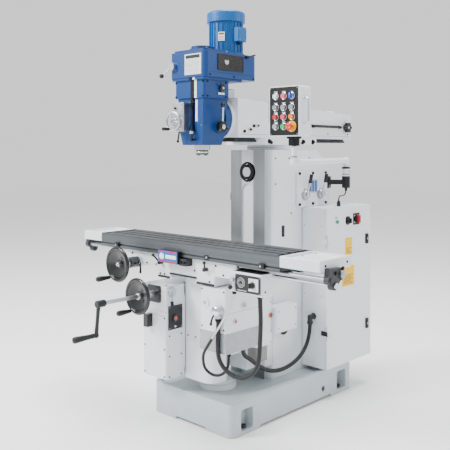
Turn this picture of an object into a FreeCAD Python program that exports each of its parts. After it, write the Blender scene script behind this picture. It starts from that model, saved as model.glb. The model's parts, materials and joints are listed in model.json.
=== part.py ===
"""Vertical milling machine with a ram head, a horizontal spindle and a knee table.

Millimetres.  X runs along the table, Y from the operator to the column, Z up.
While the pieces are drawn, Y is measured from the front edge of the base; each
piece is moved back by half the base length when it is written, so that the
finished frame has its origin on the floor at the centre of the base footprint.
"""
import FreeCAD, Part
import math
import os

V = FreeCAD.Vector

# ---- fits -----------------------------------------------------------------
RUN = 0.05            # radial clearance of a running fit
SLIDE = 0.05          # gap between sliding flat faces
WAY = 0.10            # clearance of a dovetail, all round
FREE = 0.5            # a shaft that only passes through
APART = 0.3           # a close piece that must not rub

# ---- base -----------------------------------------------------------------
BASE_W = 614.0
BASE_L = 1120.0
BASE_H = 175.0
BASE_WALL = 40.0
BASE_PLATE = 28.0
TRAY_DEPTH = 12.0
TRAY_RIM = 26.0
ARCH_H = 15.0
FOOT = 190.0          # length of each corner foot
POCKET_W = 96.0
POCKET_H = 112.0
POCKET_D = 56.0
POCKET_FLOOR = 22.0
POCKET_Y = 120.0      # from each end of the base
ANCHOR_R = 11.0
DRAIN_R = 15.0

# ---- column ---------------------------------------------------------------
COL_W = 330.0
COL_Y = 505.0
COL_TOP_L = 445.0
COL_FLARE = 130.0
COL_FLARE_H = 120.0
COL_RISE = 1325.0
COL_WALL = 34.0
WAY_W = 268.0
WAY_T = 35.0
WAY_UNDERCUT = 20.0
WAY_RELIEF = 90.0
HOLE_L = 230.0        # gear opening in the side of the column
HOLE_H = 150.0
COVER_T = 15.0
COVER_L = 310.0
COVER_H = 224.0
COVER_DROP = 237.0    # cover centre below the column top
COVER_Y = 372.0       # cover centre behind the column face
LEVER_GAP = 158.0
LEVER_L = 110.0
LEVER_HUB_R = 30.0
BOLT_R = 9.0
BOLT_H = 7.0

# ---- horizontal spindle ----------------------------------------------------
HS_DROP = 131.0
HS_NOSE_R = 55.0
HS_NOSE_OUT = 8.0
HS_SHAFT_R = 40.0
HS_GEAR_R = 88.0
HS_TAPER_R = 22.0

# ---- knee, its pedestal and screw ------------------------------------------
PED_Y = 215.0
PED_R = 105.0
PED_T = 27.0
PED_RISE = 148.0
SCREW_R = 20.0
SCREW_FLOOR = 30.0    # foot of the screw above the floor
KNEE_RISE = 615.0
KNEE_W = 250.0
KNEE_FRONT = 40.0
KNEE_NOSE = 112.0     # depth of the rounded front body
KNEE_NOSE_Z = 55.0    # its underside above the base
KNEE_TAIL_Z = 75.0
KNEE_EAR_W = 326.0
KNEE_EAR_L = 62.0
KNEE_FLOOR_RISE = 187.0   # underside of the knee body above the base
RIDGE_W = 170.0
RIDGE_H = 25.0
RIDGE_FLARE = 20.0
GB_X0 = -275.0        # gearbox on the left of the knee
GB_X1 = -85.0
GB_FRONT = -100.0
GB_BACK = 255.0
GB_TOP_DROP = 36.0
GB_BOTTOM_Z = 70.0
CROSS_DROP = 83.0
WHEEL_R = 100.0
RIM_R = 11.0
WEB_T = 8.0           # dished web of a handwheel
CROSS_WHEEL_Y = -224.0
SLEEVE_R = 18.0
CRANK_SHAFT_R = 11.0
CRANK_Y = -482.0
CRANK_ARM = 165.0
CRANK_GRIP_L = 125.0
FB_W = 186.0          # feed box on the right of the knee
FB_FRONT = -50.0
FB_BACK = 210.0
FB_H = 335.0
DIAL_R = 27.0

# ---- saddle ----------------------------------------------------------------
SADDLE_H = 135.0
SADDLE_FRONT = -55.0
SADDLE_WIDTH = 270.0
SADDLE_LEFT = -480.0
SADDLE_RIGHT = 390.0
SADDLE_WING_T = 80.0
SADDLE_PAD_X0 = -200.0
SADDLE_PAD_X1 = 235.0
SADDLE_PAD_BACK = 320.0
TW_X = -370.0
TW_DROP = 67.0
TW_WHEEL_Y = -212.0
TW_SHAFT_R = 12.0
TW_BOSS_R = 31.0
FEED_W = 200.0
FEED_D = 130.0
FEED_H = 100.0
FEED_FRONT = -100.0
FEED_TOP_DROP = 26.0

# ---- table -----------------------------------------------------------------
TABLE_L = 1380.0
TABLE_W = 261.0
TABLE_T = 75.0
TABLE_FRONT = -83.0
SLOT_W = 16.0
SLOT_HEAD_W = 28.0
SLOT_NECK = 14.0
SLOT_HEAD = 12.0
SLOT_PITCH = 63.0
DOVE_H = 22.0
DOVE_W = 86.0
DOVE_FLARE = 13.0
CHANNEL_W = 56.0
CHANNEL_UP = 27.0
LEAD_R = 12.0
LEAD_RISE = 5.0
FEEDSHAFT_Y = -4.0
FEEDSHAFT_DROP = 41.0
FEEDSHAFT_R = 9.0
STOPROD_Y = -35.0
STOPROD_DROP = 13.0
STOPROD_R = 10.0
END_RIGHT = 230.0
END_LEFT = 175.0
END_H = 53.0
END_W = 251.0
BRACKET_T = 28.0

# ---- turret and ram ----------------------------------------------------------
TURRET_Y = 700.0
TURRET_R = 155.0
TURRET_DISC = 30.0
TURRET_W = 320.0
TURRET_FRONT = 450.0
TURRET_BACK = 950.0
TURRET_BLOCK = 41.0
RAM_W = 260.0
RAM_FLANGE_Y = 215.0
RAM_FLANGE_T = 27.0
RAM_FLANGE_R = 115.0
RAM_L = 1140.0
RAM_H = 222.0
RAM_REAR_H = 164.0
RAM_DOVE_W = 180.0
RAM_DOVE_H = 24.0
RAM_DOVE_FLARE = 18.0
TILT_RISE = 104.0

# ---- head --------------------------------------------------------------------
HEAD_DISC_T = 25.0
HEAD_D = 190.0
HEAD_W = 196.0
HEAD_NOSE_W = 156.0
HEAD_DROP = 148.0
HEAD_TAPER = 113.0
HEAD_UP = 107.0
BOX_W = 230.0
BOX_H = 98.0
PLATE_T = 13.0
BELT_W = 280.0
BELT_L = 420.0
BELT_H = 142.0
BELT_FRONT = -28.0
SPINDLE_Y = 90.0
QUILL_R = 45.0
QUILL_L = 270.0
QUILL_OUT = 27.0
QUILL_STROKE = 127.0
SPINDLE_R = 20.0
NOSE_R = 35.0
NOSE_H = 26.0
TAPER_R = 16.0
SPLINE_R = 15.0
SPLINE_TOP = 95.0     # spline end above the belt housing floor
MOTOR_Y = 283.0
MOTOR_R = 97.0
MOTOR_H = 178.0
CAP_R = 110.0
CAP_H = 62.0
FEEDBOX_W = 88.0
FEEDBOX_D = 45.0
FEEDBOX_H = 159.0
FEEDBOX_X = -8.0      # right side of the apron
FINE_WHEEL_R = 57.0
QL_Y = 124.0
QL_DROP = 48.0
QL_HUB_R = 30.0
QL_ARM = 120.0
STOP_X = 23.0

# ---- cabinet -----------------------------------------------------------------
CAB_W = 165.0
CAB_L = 485.0
CAB_H = 960.0
CAB_Y = 785.0
CAB_RISE = 15.0
CAB_WALL = 4.0
CAB_GAP = 5.0
DOOR_T = 15.0
HINGE_R = 5.0

# ---- pendant -------------------------------------------------------------------
ARM_X = 250.0
ARM_Y = 1140.0
ARM_RISE = 1257.0     # level tube above the base
SOCKET_DROP = 137.0
PANEL_RISE = 140.0
ARM_R = 18.0
POST_R = 16.0
SOCKET_R = 26.0
SOCKET_H = 74.0
PANEL_X = 480.0
PANEL_Y = 300.0
PANEL_W = 202.0
PANEL_D = 100.0
PANEL_H = 266.0
BUTTON_R = 14.0
BUTTON_STEM = 8.0
BUTTON_TRAVEL = 4.0
ESTOP_R = 22.0

# ---- hoses -----------------------------------------------------------------------
HOSE_R = 12.0
LINE_R = 8.0
CABLE_R = 4.0

# ---- levels and places that follow -------------------------------------------------
TRAY_Z = BASE_H - TRAY_DEPTH
COL_TOP = BASE_H + COL_RISE
WAY_Y = COL_Y - WAY_T
KNEE_TOP = BASE_H + KNEE_RISE
KNEE_FLOOR = BASE_H + KNEE_FLOOR_RISE
SADDLE_Z0 = KNEE_TOP + SLIDE
SADDLE_TOP = SADDLE_Z0 + SADDLE_H
TABLE_Z0 = SADDLE_TOP + SLIDE
TABLE_TOP = TABLE_Z0 + TABLE_T
TABLE_MID = TABLE_FRONT + TABLE_W / 2
LEAD_Z = TABLE_Z0 + LEAD_RISE
FEEDSHAFT_Z = TABLE_Z0 - FEEDSHAFT_DROP
STOPROD_Z = TABLE_Z0 - STOPROD_DROP
TURRET_Z0 = COL_TOP + SLIDE
TURRET_TOP = TURRET_Z0 + TURRET_DISC + TURRET_BLOCK
RAM_Z0 = TURRET_TOP + SLIDE
RAM_FRONT = RAM_FLANGE_Y + RAM_FLANGE_T
RAM_BACK = RAM_FRONT + RAM_L
TILT_Z = RAM_Z0 + TILT_RISE
HEAD_REAR = RAM_FLANGE_Y - SLIDE - HEAD_DISC_T
HEAD_FRONT = HEAD_REAR - HEAD_D
HEAD_Z0 = TILT_Z - HEAD_DROP
BOX_Z0 = TILT_Z + HEAD_UP
PLATE_Z0 = BOX_Z0 + BOX_H
BELT_Z0 = PLATE_Z0 + PLATE_T
BELT_TOP = BELT_Z0 + BELT_H
HS_Z = COL_TOP - HS_DROP
COVER_Z = COL_TOP - COVER_DROP
COVER_MID = COL_Y + COVER_Y
CROSS_X = (GB_X0 + GB_X1) / 2
CROSS_Z = KNEE_TOP - CROSS_DROP
TW_Z = SADDLE_TOP - TW_DROP
CAB_X0 = COL_W / 2 + CAB_GAP
CAB_X1 = CAB_X0 + CAB_W
CAB_Z0 = BASE_H + CAB_RISE
CAB_Z1 = CAB_Z0 + CAB_H
ARM_Z = BASE_H + ARM_RISE
PANEL_Z0 = ARM_Z + PANEL_RISE
PANEL_FACE = PANEL_Y - PANEL_D / 2
QUILL_Z0 = HEAD_Z0 - QUILL_OUT
SPINDLE_Z0 = QUILL_Z0 - NOSE_H
MOTOR_Z0 = BELT_TOP + 15.0
QL_Z = TILT_Z - QL_DROP


# ---- drawing helpers -----------------------------------------------------------------
def box(x0, x1, y0, y1, z0, z1):
    """Rectangular block between two corners."""
    return Part.makeBox(x1 - x0, y1 - y0, z1 - z0, V(x0, y0, z0))


def place(axis, a, b, along):
    """Point from its two cross coordinates and its coordinate along an axis."""
    if axis == "x":
        return V(along, a, b)
    if axis == "y":
        return V(a, along, b)
    return V(a, b, along)


DIR = {"x": V(1, 0, 0), "y": V(0, 1, 0), "z": V(0, 0, 1)}


def rod(axis, r, a, b, s0, s1):
    """Cylinder along an axis from s0 to s1."""
    return Part.makeCylinder(r, s1 - s0, place(axis, a, b, s0), DIR[axis])


def cone(axis, r0, r1, a, b, s0, s1):
    """Cone along an axis, radius r0 at s0 and r1 at s1."""
    return Part.makeCone(r0, r1, s1 - s0, place(axis, a, b, s0), DIR[axis])


def prism(axis, points, s0, s1):
    """Polygon in the plane across an axis, drawn out from s0 to s1."""
    pts = [place(axis, a, b, s0) for a, b in points]
    face = Part.Face(Part.makePolygon(pts + [pts[0]]))
    return face.extrude(DIR[axis] * (s1 - s0))


def bar(p, q, r):
    """Round bar from point p to point q."""
    p = V(*p)
    q = V(*q)
    return Part.makeCylinder(r, (q - p).Length, p, q - p)


def ball(centre, r, toward):
    """Ball about a point, its poles along the bar that it ends."""
    return Part.makeSphere(r, V(*centre), V(*toward))


def aim(p, q):
    """Direction from one point to another."""
    return (q[0] - p[0], q[1] - p[1], q[2] - p[2])


def eased(shape, axis, r):
    """Round the straight edges that run along an axis."""
    picked = []
    for e in shape.Edges:
        if isinstance(e.Curve, (Part.Line, Part.LineSegment)):
            t = e.tangentAt(e.FirstParameter)
            if abs(t.dot(DIR[axis])) > 0.999:
                picked.append(e)
    return shape.makeFillet(r, picked)


def rbox(x0, x1, y0, y1, z0, z1, r, axis="z"):
    """Block with the four edges along one axis rounded."""
    return eased(box(x0, x1, y0, y1, z0, z1), axis, r)


def fuse(*shapes):
    """One solid from pieces that overlap or touch."""
    out = shapes[0]
    for s in shapes[1:]:
        out = out.fuse(s)
    return out.removeSplitter()


def group(*shapes):
    """Several separate solids in one node."""
    solids = []
    for s in shapes:
        solids.extend(s.Solids)
    return Part.makeCompound(solids)


def save(name, shape):
    """Write one node, moved to the finished frame."""
    moved = shape.copy()
    moved.translate(V(0, -BASE_L / 2, 0))
    bad = [s for s in moved.Solids if not s.isValid()]
    print(name, len(moved.Solids), "solids", "BAD" if bad else "", round(moved.Volume / 1000))
    moved.exportStep("parts/" + name + ".step")


def hex_bolt(axis, a, b, s0, s1):
    """Cap screw head of the common size."""
    return rod(axis, BOLT_R, a, b, s0, s1)


# ---- fixed frame of the machine ----------------------------------------------------------
def base_casting():
    """Hollow base with a shallow tray, four feet and four anchor pockets."""
    w = BASE_W / 2
    body = rbox(-w, w, 0, BASE_L, 0, BASE_H, 38)
    tray = rbox(-w + TRAY_RIM, w - TRAY_RIM, TRAY_RIM, BASE_L - TRAY_RIM, TRAY_Z, BASE_H + 1, 20)
    body = body.cut(tray)
    inner_w = w - POCKET_D - 18
    hollow = box(-inner_w, inner_w, BASE_WALL, BASE_L - BASE_WALL, -1, TRAY_Z - BASE_PLATE)
    waist_y = POCKET_Y + POCKET_W / 2 + 18
    waist = box(-w + BASE_WALL, w - BASE_WALL, waist_y, BASE_L - waist_y, -1, TRAY_Z - BASE_PLATE)
    body = body.cut(hollow.fuse(waist))
    body = body.cut(box(-w + FOOT, w - FOOT, -1, BASE_L + 1, -1, ARCH_H))
    body = body.cut(box(-w - 1, w + 1, FOOT + 40, BASE_L - FOOT - 40, -1, ARCH_H))
    for side in (-1, 1):
        for y in (POCKET_Y, BASE_L - POCKET_Y):
            x0, x1 = sorted((side * (w - POCKET_D), side * (w + 1)))
            z1 = POCKET_FLOOR + POCKET_H
            pocket = box(x0, x1, y - POCKET_W / 2, y + POCKET_W / 2, POCKET_FLOOR, z1)
            hole = rod("z", ANCHOR_R, side * (w - POCKET_D / 2), y, -1, POCKET_FLOOR + 1)
            body = body.cut(eased(pocket, "x", 14)).cut(hole)
    body = body.cut(rod("z", SCREW_R + 3, 0, PED_Y, TRAY_Z - BASE_PLATE - 1, TRAY_Z + 1))
    drain = rod("x", DRAIN_R, BASE_L - POCKET_Y - 190, 66, w - BASE_WALL - 1, w + 1)
    return body.cut(drain)


def column_profile(inset):
    """Side outline of the column, drawn in by a wall."""
    y0 = COL_Y + inset
    y1 = COL_Y + COL_TOP_L - inset * 0.8
    y2 = COL_Y + COL_TOP_L + COL_FLARE - inset
    z0 = TRAY_Z + inset * (1 if inset else 0)
    z1 = COL_TOP - COL_FLARE_H - inset * 0.3
    z2 = COL_TOP - inset
    return [(y0, z0), (y2, z0), (y2, z1), (y1, z2), (y0, z2)]


def column_casting():
    """Box column that widens at the back, with a gear opening in its right side."""
    w = COL_W / 2
    body = prism("x", column_profile(0), -w, w)
    body = eased(body, "z", 16)
    core = prism("x", column_profile(COL_WALL), -w + COL_WALL, w - COL_WALL)
    body = body.cut(core)
    y = COVER_MID
    z = COVER_Z
    side = rbox(w - COL_WALL - 1, w + 1, y - HOLE_L / 2, y + HOLE_L / 2,
                z - HOLE_H / 2, z + HOLE_H / 2, 20, "x")
    body = body.cut(side)
    bore = rod("y", HS_SHAFT_R + RUN, 0, HS_Z, COL_Y - 1, COL_Y + COL_WALL + 1)
    return body.cut(bore)


def way_outline(half, y0, y1, grow):
    """Dovetail across Z: wide at the front, drawn in towards the column."""
    tip = half + grow
    root = half - WAY_UNDERCUT + grow
    return [(-tip, y0), (tip, y0), (root, y1), (-root, y1)]


def column_slideway():
    """Machined vertical dovetail way on the column face."""
    z0 = TRAY_Z
    body = prism("z", way_outline(WAY_W / 2, WAY_Y, COL_Y, 0), z0, COL_TOP)
    relief_top = HS_Z - HS_NOSE_R - 60
    relief = box(-WAY_RELIEF / 2, WAY_RELIEF / 2, WAY_Y - 1, WAY_Y + 9, z0 - 1, relief_top)
    body = body.cut(relief)
    arch = rod("y", WAY_RELIEF / 2, 0, relief_top, WAY_Y - 1, WAY_Y + 9)
    body = body.cut(arch)
    bore = rod("y", HS_NOSE_R + 6, 0, HS_Z, WAY_Y - 1, COL_Y + 1)
    return body.cut(bore)


def knee_pedestal():
    """Stepped flange and cone that hold the nut of the knee screw."""
    z = TRAY_Z
    body = rod("z", PED_R, 0, PED_Y, z, z + PED_T)
    body = body.fuse(rod("z", PED_R * 0.8, 0, PED_Y, z + PED_T, z + PED_T + 15))
    top = z + PED_T + PED_RISE
    body = body.fuse(cone("z", PED_R * 0.57, PED_R * 0.33, 0, PED_Y, z + PED_T + 15, top))
    body = body.cut(rod("z", SCREW_R + RUN, 0, PED_Y, z - 1, top + 1))
    return body.removeSplitter()


def gear_cover():
    """Cover over the gear opening with its six screws."""
    x0 = COL_W / 2
    x1 = x0 + COVER_T
    y0 = COVER_MID - COVER_L / 2
    y1 = COVER_MID + COVER_L / 2
    z0 = COVER_Z - COVER_H / 2
    z1 = COVER_Z + COVER_H / 2
    plate = rbox(x0, x1, y0, y1, z0, z1, 14, "x")
    for y in (COVER_MID - LEVER_GAP / 2, COVER_MID + LEVER_GAP / 2):
        plate = plate.cut(rod("x", 10 + RUN, y, lever_z(), x0 - 1, x1 + 1))
    bolts = []
    for y in (y0 + 20, COVER_MID, y1 - 20):
        for z in (z0 + 18, z1 - 18):
            bolts.append(hex_bolt("x", y, z, x1, x1 + BOLT_H))
    return group(plate, *bolts)


def lever_z():
    """Height of the gear lever axes."""
    return COVER_Z - 36


def gear_lever(y):
    """Speed lever: hub and shaft in the cover, arm and grip."""
    x0 = COL_W / 2 + COVER_T
    z = lever_z()
    shaft = rod("x", 10, y, z, x0 - COVER_T - 45, x0 + 1)
    hub = rod("x", LEVER_HUB_R, y, z, x0 + APART, x0 + 20)
    arm = bar((x0 + 12, y, z), (x0 + 36, y + 6, z + LEVER_L - 38), 6)
    grip = bar((x0 + 35, y + 6, z + LEVER_L - 40), (x0 + 44, y + 8, z + LEVER_L + 14), 11)
    return fuse(shaft, hub, arm, grip)


def horizontal_spindle():
    """Spindle through the column face with its nose, taper, keys and gear."""
    y0 = WAY_Y - HS_NOSE_OUT
    nose = rod("y", HS_NOSE_R, 0, HS_Z, y0, COL_Y - APART)
    shaft = rod("y", HS_SHAFT_R, 0, HS_Z, COL_Y - 2, COL_Y + COL_WALL + 75)
    g0 = COL_Y + COL_WALL + 30
    gear = rod("y", HS_GEAR_R, 0, HS_Z, g0, g0 + 24)
    body = fuse(nose, shaft, gear)
    taper = cone("y", HS_TAPER_R, HS_TAPER_R * 0.6, 0, HS_Z, y0 - 0.01, y0 + 82)
    body = body.cut(taper)
    for s in (-1, 1):
        key = box(-8, 8, y0 - 7, y0 + 4, HS_Z + s * 36 - 8, HS_Z + s * 36 + 8)
        body = body.fuse(key)
    return body.removeSplitter()


# ---- electrical cabinet ---------------------------------------------------------------
def cabinet_shell():
    """Sheet steel cabinet open on its right, with its mounting plate and gland."""
    y1 = CAB_Y + CAB_L
    t = CAB_WALL
    back = box(CAB_X0, CAB_X0 + t, CAB_Y, y1, CAB_Z0, CAB_Z1)
    top = box(CAB_X0 + t, CAB_X1, CAB_Y, y1, CAB_Z1 - t, CAB_Z1)
    bottom = box(CAB_X0 + t, CAB_X1, CAB_Y, y1, CAB_Z0, CAB_Z0 + t)
    front = box(CAB_X0 + t, CAB_X1, CAB_Y, CAB_Y + t, CAB_Z0 + t, CAB_Z1 - t)
    rear = box(CAB_X0 + t, CAB_X1, y1 - t, y1, CAB_Z0 + t, CAB_Z1 - t)
    shell = [back, top, bottom, front, rear]
    foot = box(COL_W / 2, CAB_X0, CAB_Y + 40, COL_Y + COL_TOP_L + COL_FLARE - 30,
               CAB_Z0 + 60, CAB_Z1 - 60)
    shell.append(foot)
    plate = box(CAB_X0 + t, CAB_X0 + t + 3, CAB_Y + 40, y1 - 40, CAB_Z0 + 60, CAB_Z1 - 60)
    units = []
    for k, z in enumerate((CAB_Z0 + 180, CAB_Z0 + 420, CAB_Z0 + 640)):
        depth = 60 + 12 * k
        units.append(box(CAB_X0 + t + 3, CAB_X0 + t + 3 + depth, CAB_Y + 80, y1 - 80, z, z + 130))
    knuckles = []
    for z in hinge_levels():
        pin = rod("z", HINGE_R, hinge_x(), hinge_y(), z - 14, z + 14)
        leaf = box(CAB_X1 - 24, hinge_x(), CAB_Y - 3.5, CAB_Y, z - 14, z + 14)
        leaf = leaf.cut(rod("z", HINGE_R - 1, hinge_x(), hinge_y(), z - 20, z + 20))
        knuckles.append(fuse(pin, leaf))
    x = gland_x()
    gland = fuse(rod("y", 15, x, gland_z(), CAB_Y - 38, CAB_Y),
                 ball((x, CAB_Y - 38, gland_z()), 16, (0, 1, 0)),
                 rod("z", 15, x, CAB_Y - 38, gland_z() - 30, gland_z()))
    top_gland = rod("z", 12, top_gland_x(), CAB_Y + 210, CAB_Z1, CAB_Z1 + 22)
    return group(plate, gland, top_gland, *(shell + units + knuckles))


def gland_x():
    """Place across the cabinet of the conduit elbow."""
    return CAB_X0 + CAB_W / 2 + 2.5


def top_gland_x():
    """Place across the cabinet of the gland on its top."""
    return CAB_X0 + CAB_W / 2 + 39.5


def gland_z():
    """Height of the conduit elbow on the cabinet front."""
    return CAB_Z0 + 308


def hinge_x():
    """Hinge line of the door, just outside its face."""
    return CAB_X1 + APART + DOOR_T + 3


def hinge_y():
    """Hinge line of the door, just before the cabinet front."""
    return CAB_Y - 4


def hinge_levels():
    """Heights of the two door hinges."""
    return (CAB_Z0 + 215, CAB_Z1 - 200)


def cabinet_door():
    """Door with lamp, two latches and its halves of the hinges."""
    x0 = CAB_X1 + APART
    x1 = x0 + DOOR_T
    y0 = CAB_Y + 1
    y1 = CAB_Y + CAB_L - 1
    door = rbox(x0, x1, y0, y1, CAB_Z0 + 1, CAB_Z1 - 1, 6, "x")
    door = door.cut(box(x0 - 1, x1 - 3, y0 + 22, y1 - 22, CAB_Z0 + 23, CAB_Z1 - 23))
    for y, z, r in door_controls():
        door = door.cut(rod("x", r + RUN, y, z, x0 - 1, x1 + 1))
    lamp = rod("x", 11, y0 + 100, control_z(), x1, x1 + 12)
    pieces = [lamp]
    for z in (CAB_Z1 - 215, CAB_Z0 + 205):
        pieces.append(rbox(x1, x1 + 9, y1 - 62, y1 - 34, z - 32, z + 32, 6, "x"))
    for z in hinge_levels():
        for s in (-1, 1):
            lo, hi = sorted((z + s * (14 + APART), z + s * 40))
            knuckle = rod("z", HINGE_R, hinge_x(), hinge_y(), lo, hi)
            tail = box(hinge_x() - 3, hinge_x() + HINGE_R, hinge_y(), y0 + 26, lo, hi)
            tail = tail.cut(door)
            tail = tail.cut(box(x0, x1, y0 - 9, y0 + 30, lo - 1, hi + 1))
            pieces.append(fuse(knuckle, tail))
    return group(door, *pieces)


def control_z():
    """Height of the row of controls on the door."""
    return CAB_Z1 - 85


def door_controls():
    """Place and shaft radius of the selector and of the main switch."""
    return ((CAB_Y + 222, control_z(), 6.0), (CAB_Y + 318, control_z() + 4, 6.0))


def door_selector():
    """Small rotary selector on the door."""
    y, z, r = door_controls()[0]
    x = CAB_X1 + APART + DOOR_T
    plate = rbox(x + APART, x + 6, y - 24, y + 24, z - 24, z + 24, 4, "x")
    knob = rod("x", 15, y, z, x + 6, x + 18)
    wing = box(x + 18, x + 30, y - 4, y + 4, z - 15, z + 15)
    shaft = rod("x", r, y, z, x - DOOR_T - 6, x + 6)
    return fuse(plate.common(rod("x", 23, y, z, x, x + 7)), knob, wing, shaft)


def main_switch():
    """Rotary main switch on the door."""
    y, z, r = door_controls()[1]
    x = CAB_X1 + APART + DOOR_T
    disc = rod("x", 25, y, z, x + APART, x + 12)
    wing = rbox(x + 12, x + 30, y - 7, y + 7, z - 24, z + 24, 5, "x")
    shaft = rod("x", r, y, z, x - DOOR_T - 6, x + 12)
    return fuse(disc, wing, shaft)


# ---- pendant ---------------------------------------------------------------------------
def pendant_bracket():
    """Foot on the column, arm and upright socket for the pendant."""
    x0 = COL_W / 2
    back = COL_Y + COL_TOP_L + COL_FLARE
    z = ARM_Z - SOCKET_DROP
    foot = box(x0, x0 + 12, back - 36, back - 2, z - 38, z + 38)
    arm_box = prism("z", [(x0 + 6, back - 30), (x0 + 6, back - 4),
                          (ARM_X - 10, ARM_Y + 12), (ARM_X + 8, ARM_Y - 12)], z - 15, z + 15)
    socket = rod("z", SOCKET_R, ARM_X, ARM_Y, z - SOCKET_H / 2, z + SOCKET_H / 2)
    body = fuse(foot, arm_box.cut(box(x0 - 9, x0, 0, 3000, 0, 3000)), socket)
    return body.cut(rod("z", POST_R + RUN, ARM_X, ARM_Y, z - SOCKET_H / 2 + 12, z + 99))


def pendant_arm():
    """Post, elbow, long level tube, elbow and upright neck of the pendant."""
    z = ARM_Z - SOCKET_DROP
    post = rod("z", POST_R, ARM_X, ARM_Y, z - SOCKET_H / 2 + 14, ARM_Z)
    neck = rod("z", POST_R + 7, ARM_X, ARM_Y, z + SOCKET_H / 2 + APART, z + SOCKET_H / 2 + 50)
    ring = rod("z", POST_R + 10, ARM_X, ARM_Y, ARM_Z - 52, ARM_Z - 40)
    elbow = ball((ARM_X, ARM_Y, ARM_Z), ARM_R + 4, (PANEL_X - ARM_X, PANEL_Y - ARM_Y, 0))
    tube = bar((ARM_X, ARM_Y, ARM_Z), (PANEL_X, PANEL_Y, ARM_Z), ARM_R)
    near = ball((PANEL_X, PANEL_Y, ARM_Z), ARM_R + 7, (PANEL_X - ARM_X, PANEL_Y - ARM_Y, 0))
    riser = rod("z", POST_R, PANEL_X, PANEL_Y, ARM_Z, PANEL_Z0 - 52)
    spigot = rod("z", POST_R - 4, PANEL_X, PANEL_Y, ARM_Z, PANEL_Z0 - 8)
    return fuse(post, neck, ring, elbow, tube, near, riser, spigot)


def panel_x0():
    """Left side of the pendant box."""
    return PANEL_X - PANEL_W / 2 - 29


def button_places():
    """Name, column and row of each push button."""
    x0 = panel_x0()
    cols = (x0 + 46, x0 + 100, x0 + 154)
    rows = (PANEL_Z0 + 153, PANEL_Z0 + 103, PANEL_Z0 + 52)
    names = ("button_grey_left", "button_grey_mid", "button_grey_right",
             "button_row_left", "button_row_mid", "button_row_right",
             "button_low_left", "button_low_mid")
    return [(n, cols[k % 3], rows[k // 3]) for k, n in enumerate(names)]


def rotary_place():
    """Centre of the rotary selector on the pendant."""
    return (panel_x0() + 154, PANEL_Z0 + 213)


def estop_place():
    """Centre of the emergency stop on the pendant."""
    return (panel_x0() + 154, PANEL_Z0 + 52)


def pendant_box():
    """Control box with swivel flange, two handles and two lamps."""
    x0 = panel_x0()
    x1 = x0 + PANEL_W
    y1 = PANEL_FACE + PANEL_D
    case = rbox(x0, x1, PANEL_FACE, y1, PANEL_Z0, PANEL_Z0 + PANEL_H, 12, "y")
    holes = [(x, z) for n, x, z in button_places()] + [rotary_place(), estop_place()]
    for x, z in holes:
        case = case.cut(rod("y", BUTTON_STEM + RUN, x, z, PANEL_FACE - 1, PANEL_FACE + 24))
    swivel = rod("z", 30, PANEL_X, PANEL_Y, PANEL_Z0 - 50, PANEL_Z0 - 12)
    flange = rod("z", 40, PANEL_X, PANEL_Y, PANEL_Z0 - 12, PANEL_Z0)
    case = fuse(case, swivel, flange)
    case = case.cut(rod("z", POST_R - 4 + RUN, PANEL_X, PANEL_Y, PANEL_Z0 - 60, PANEL_Z0 - 5))
    pieces = []
    for s, x in ((-1, x0), (1, x1)):
        y = PANEL_Y - 10
        lo = PANEL_Z0 + 70
        hi = PANEL_Z0 + 200
        out = x + s * 30
        grip = pipe([(x, y, hi), (out, y, hi), (out, y, lo), (x, y, lo)], 6)[0]
        pieces.append(grip)
    for x in (x0 + 46, x0 + 100):
        pieces.append(rod("y", BUTTON_R, x, PANEL_Z0 + 213, PANEL_FACE - 12, PANEL_FACE))
    return group(case, *pieces)


def push_button(x, z):
    """Round push button with its stem."""
    y = PANEL_FACE
    cap = rod("y", BUTTON_R, x, z, y - 14, y - BUTTON_TRAVEL - APART)
    stem = rod("y", BUTTON_STEM, x, z, y - 12, y + 14)
    return fuse(cap, stem)


def pendant_rotary():
    """Rotary selector knob with a wing."""
    x, z = rotary_place()
    y = PANEL_FACE
    knob = rod("y", BUTTON_R + 2, x, z, y - 12, y - APART)
    wing = box(x - 4, x + 4, y - 22, y - 10, z - 15, z + 15)
    return fuse(knob, wing, rod("y", BUTTON_STEM, x, z, y - 11, y + 14))


def estop_button():
    """Mushroom stop button."""
    x, z = estop_place()
    y = PANEL_FACE
    head = cone("y", ESTOP_R - 5, ESTOP_R, x, z, y - 34, y - 27)
    head = head.fuse(cone("y", ESTOP_R, ESTOP_R - 7, x, z, y - 27, y - 16))
    return fuse(head, rod("y", BUTTON_STEM, x, z, y - 17, y + 14))


# ---- knee ------------------------------------------------------------------------------
def ridge_outline(grow):
    """Dovetail along Y on top of the knee: wider at the top."""
    h = RIDGE_W / 2 + grow
    z0 = KNEE_TOP - 1
    z1 = KNEE_TOP + RIDGE_H + grow
    return [(-h, z0), (h, z0), (h + RIDGE_FLARE, z1), (-h - RIDGE_FLARE, z1)]


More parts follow.
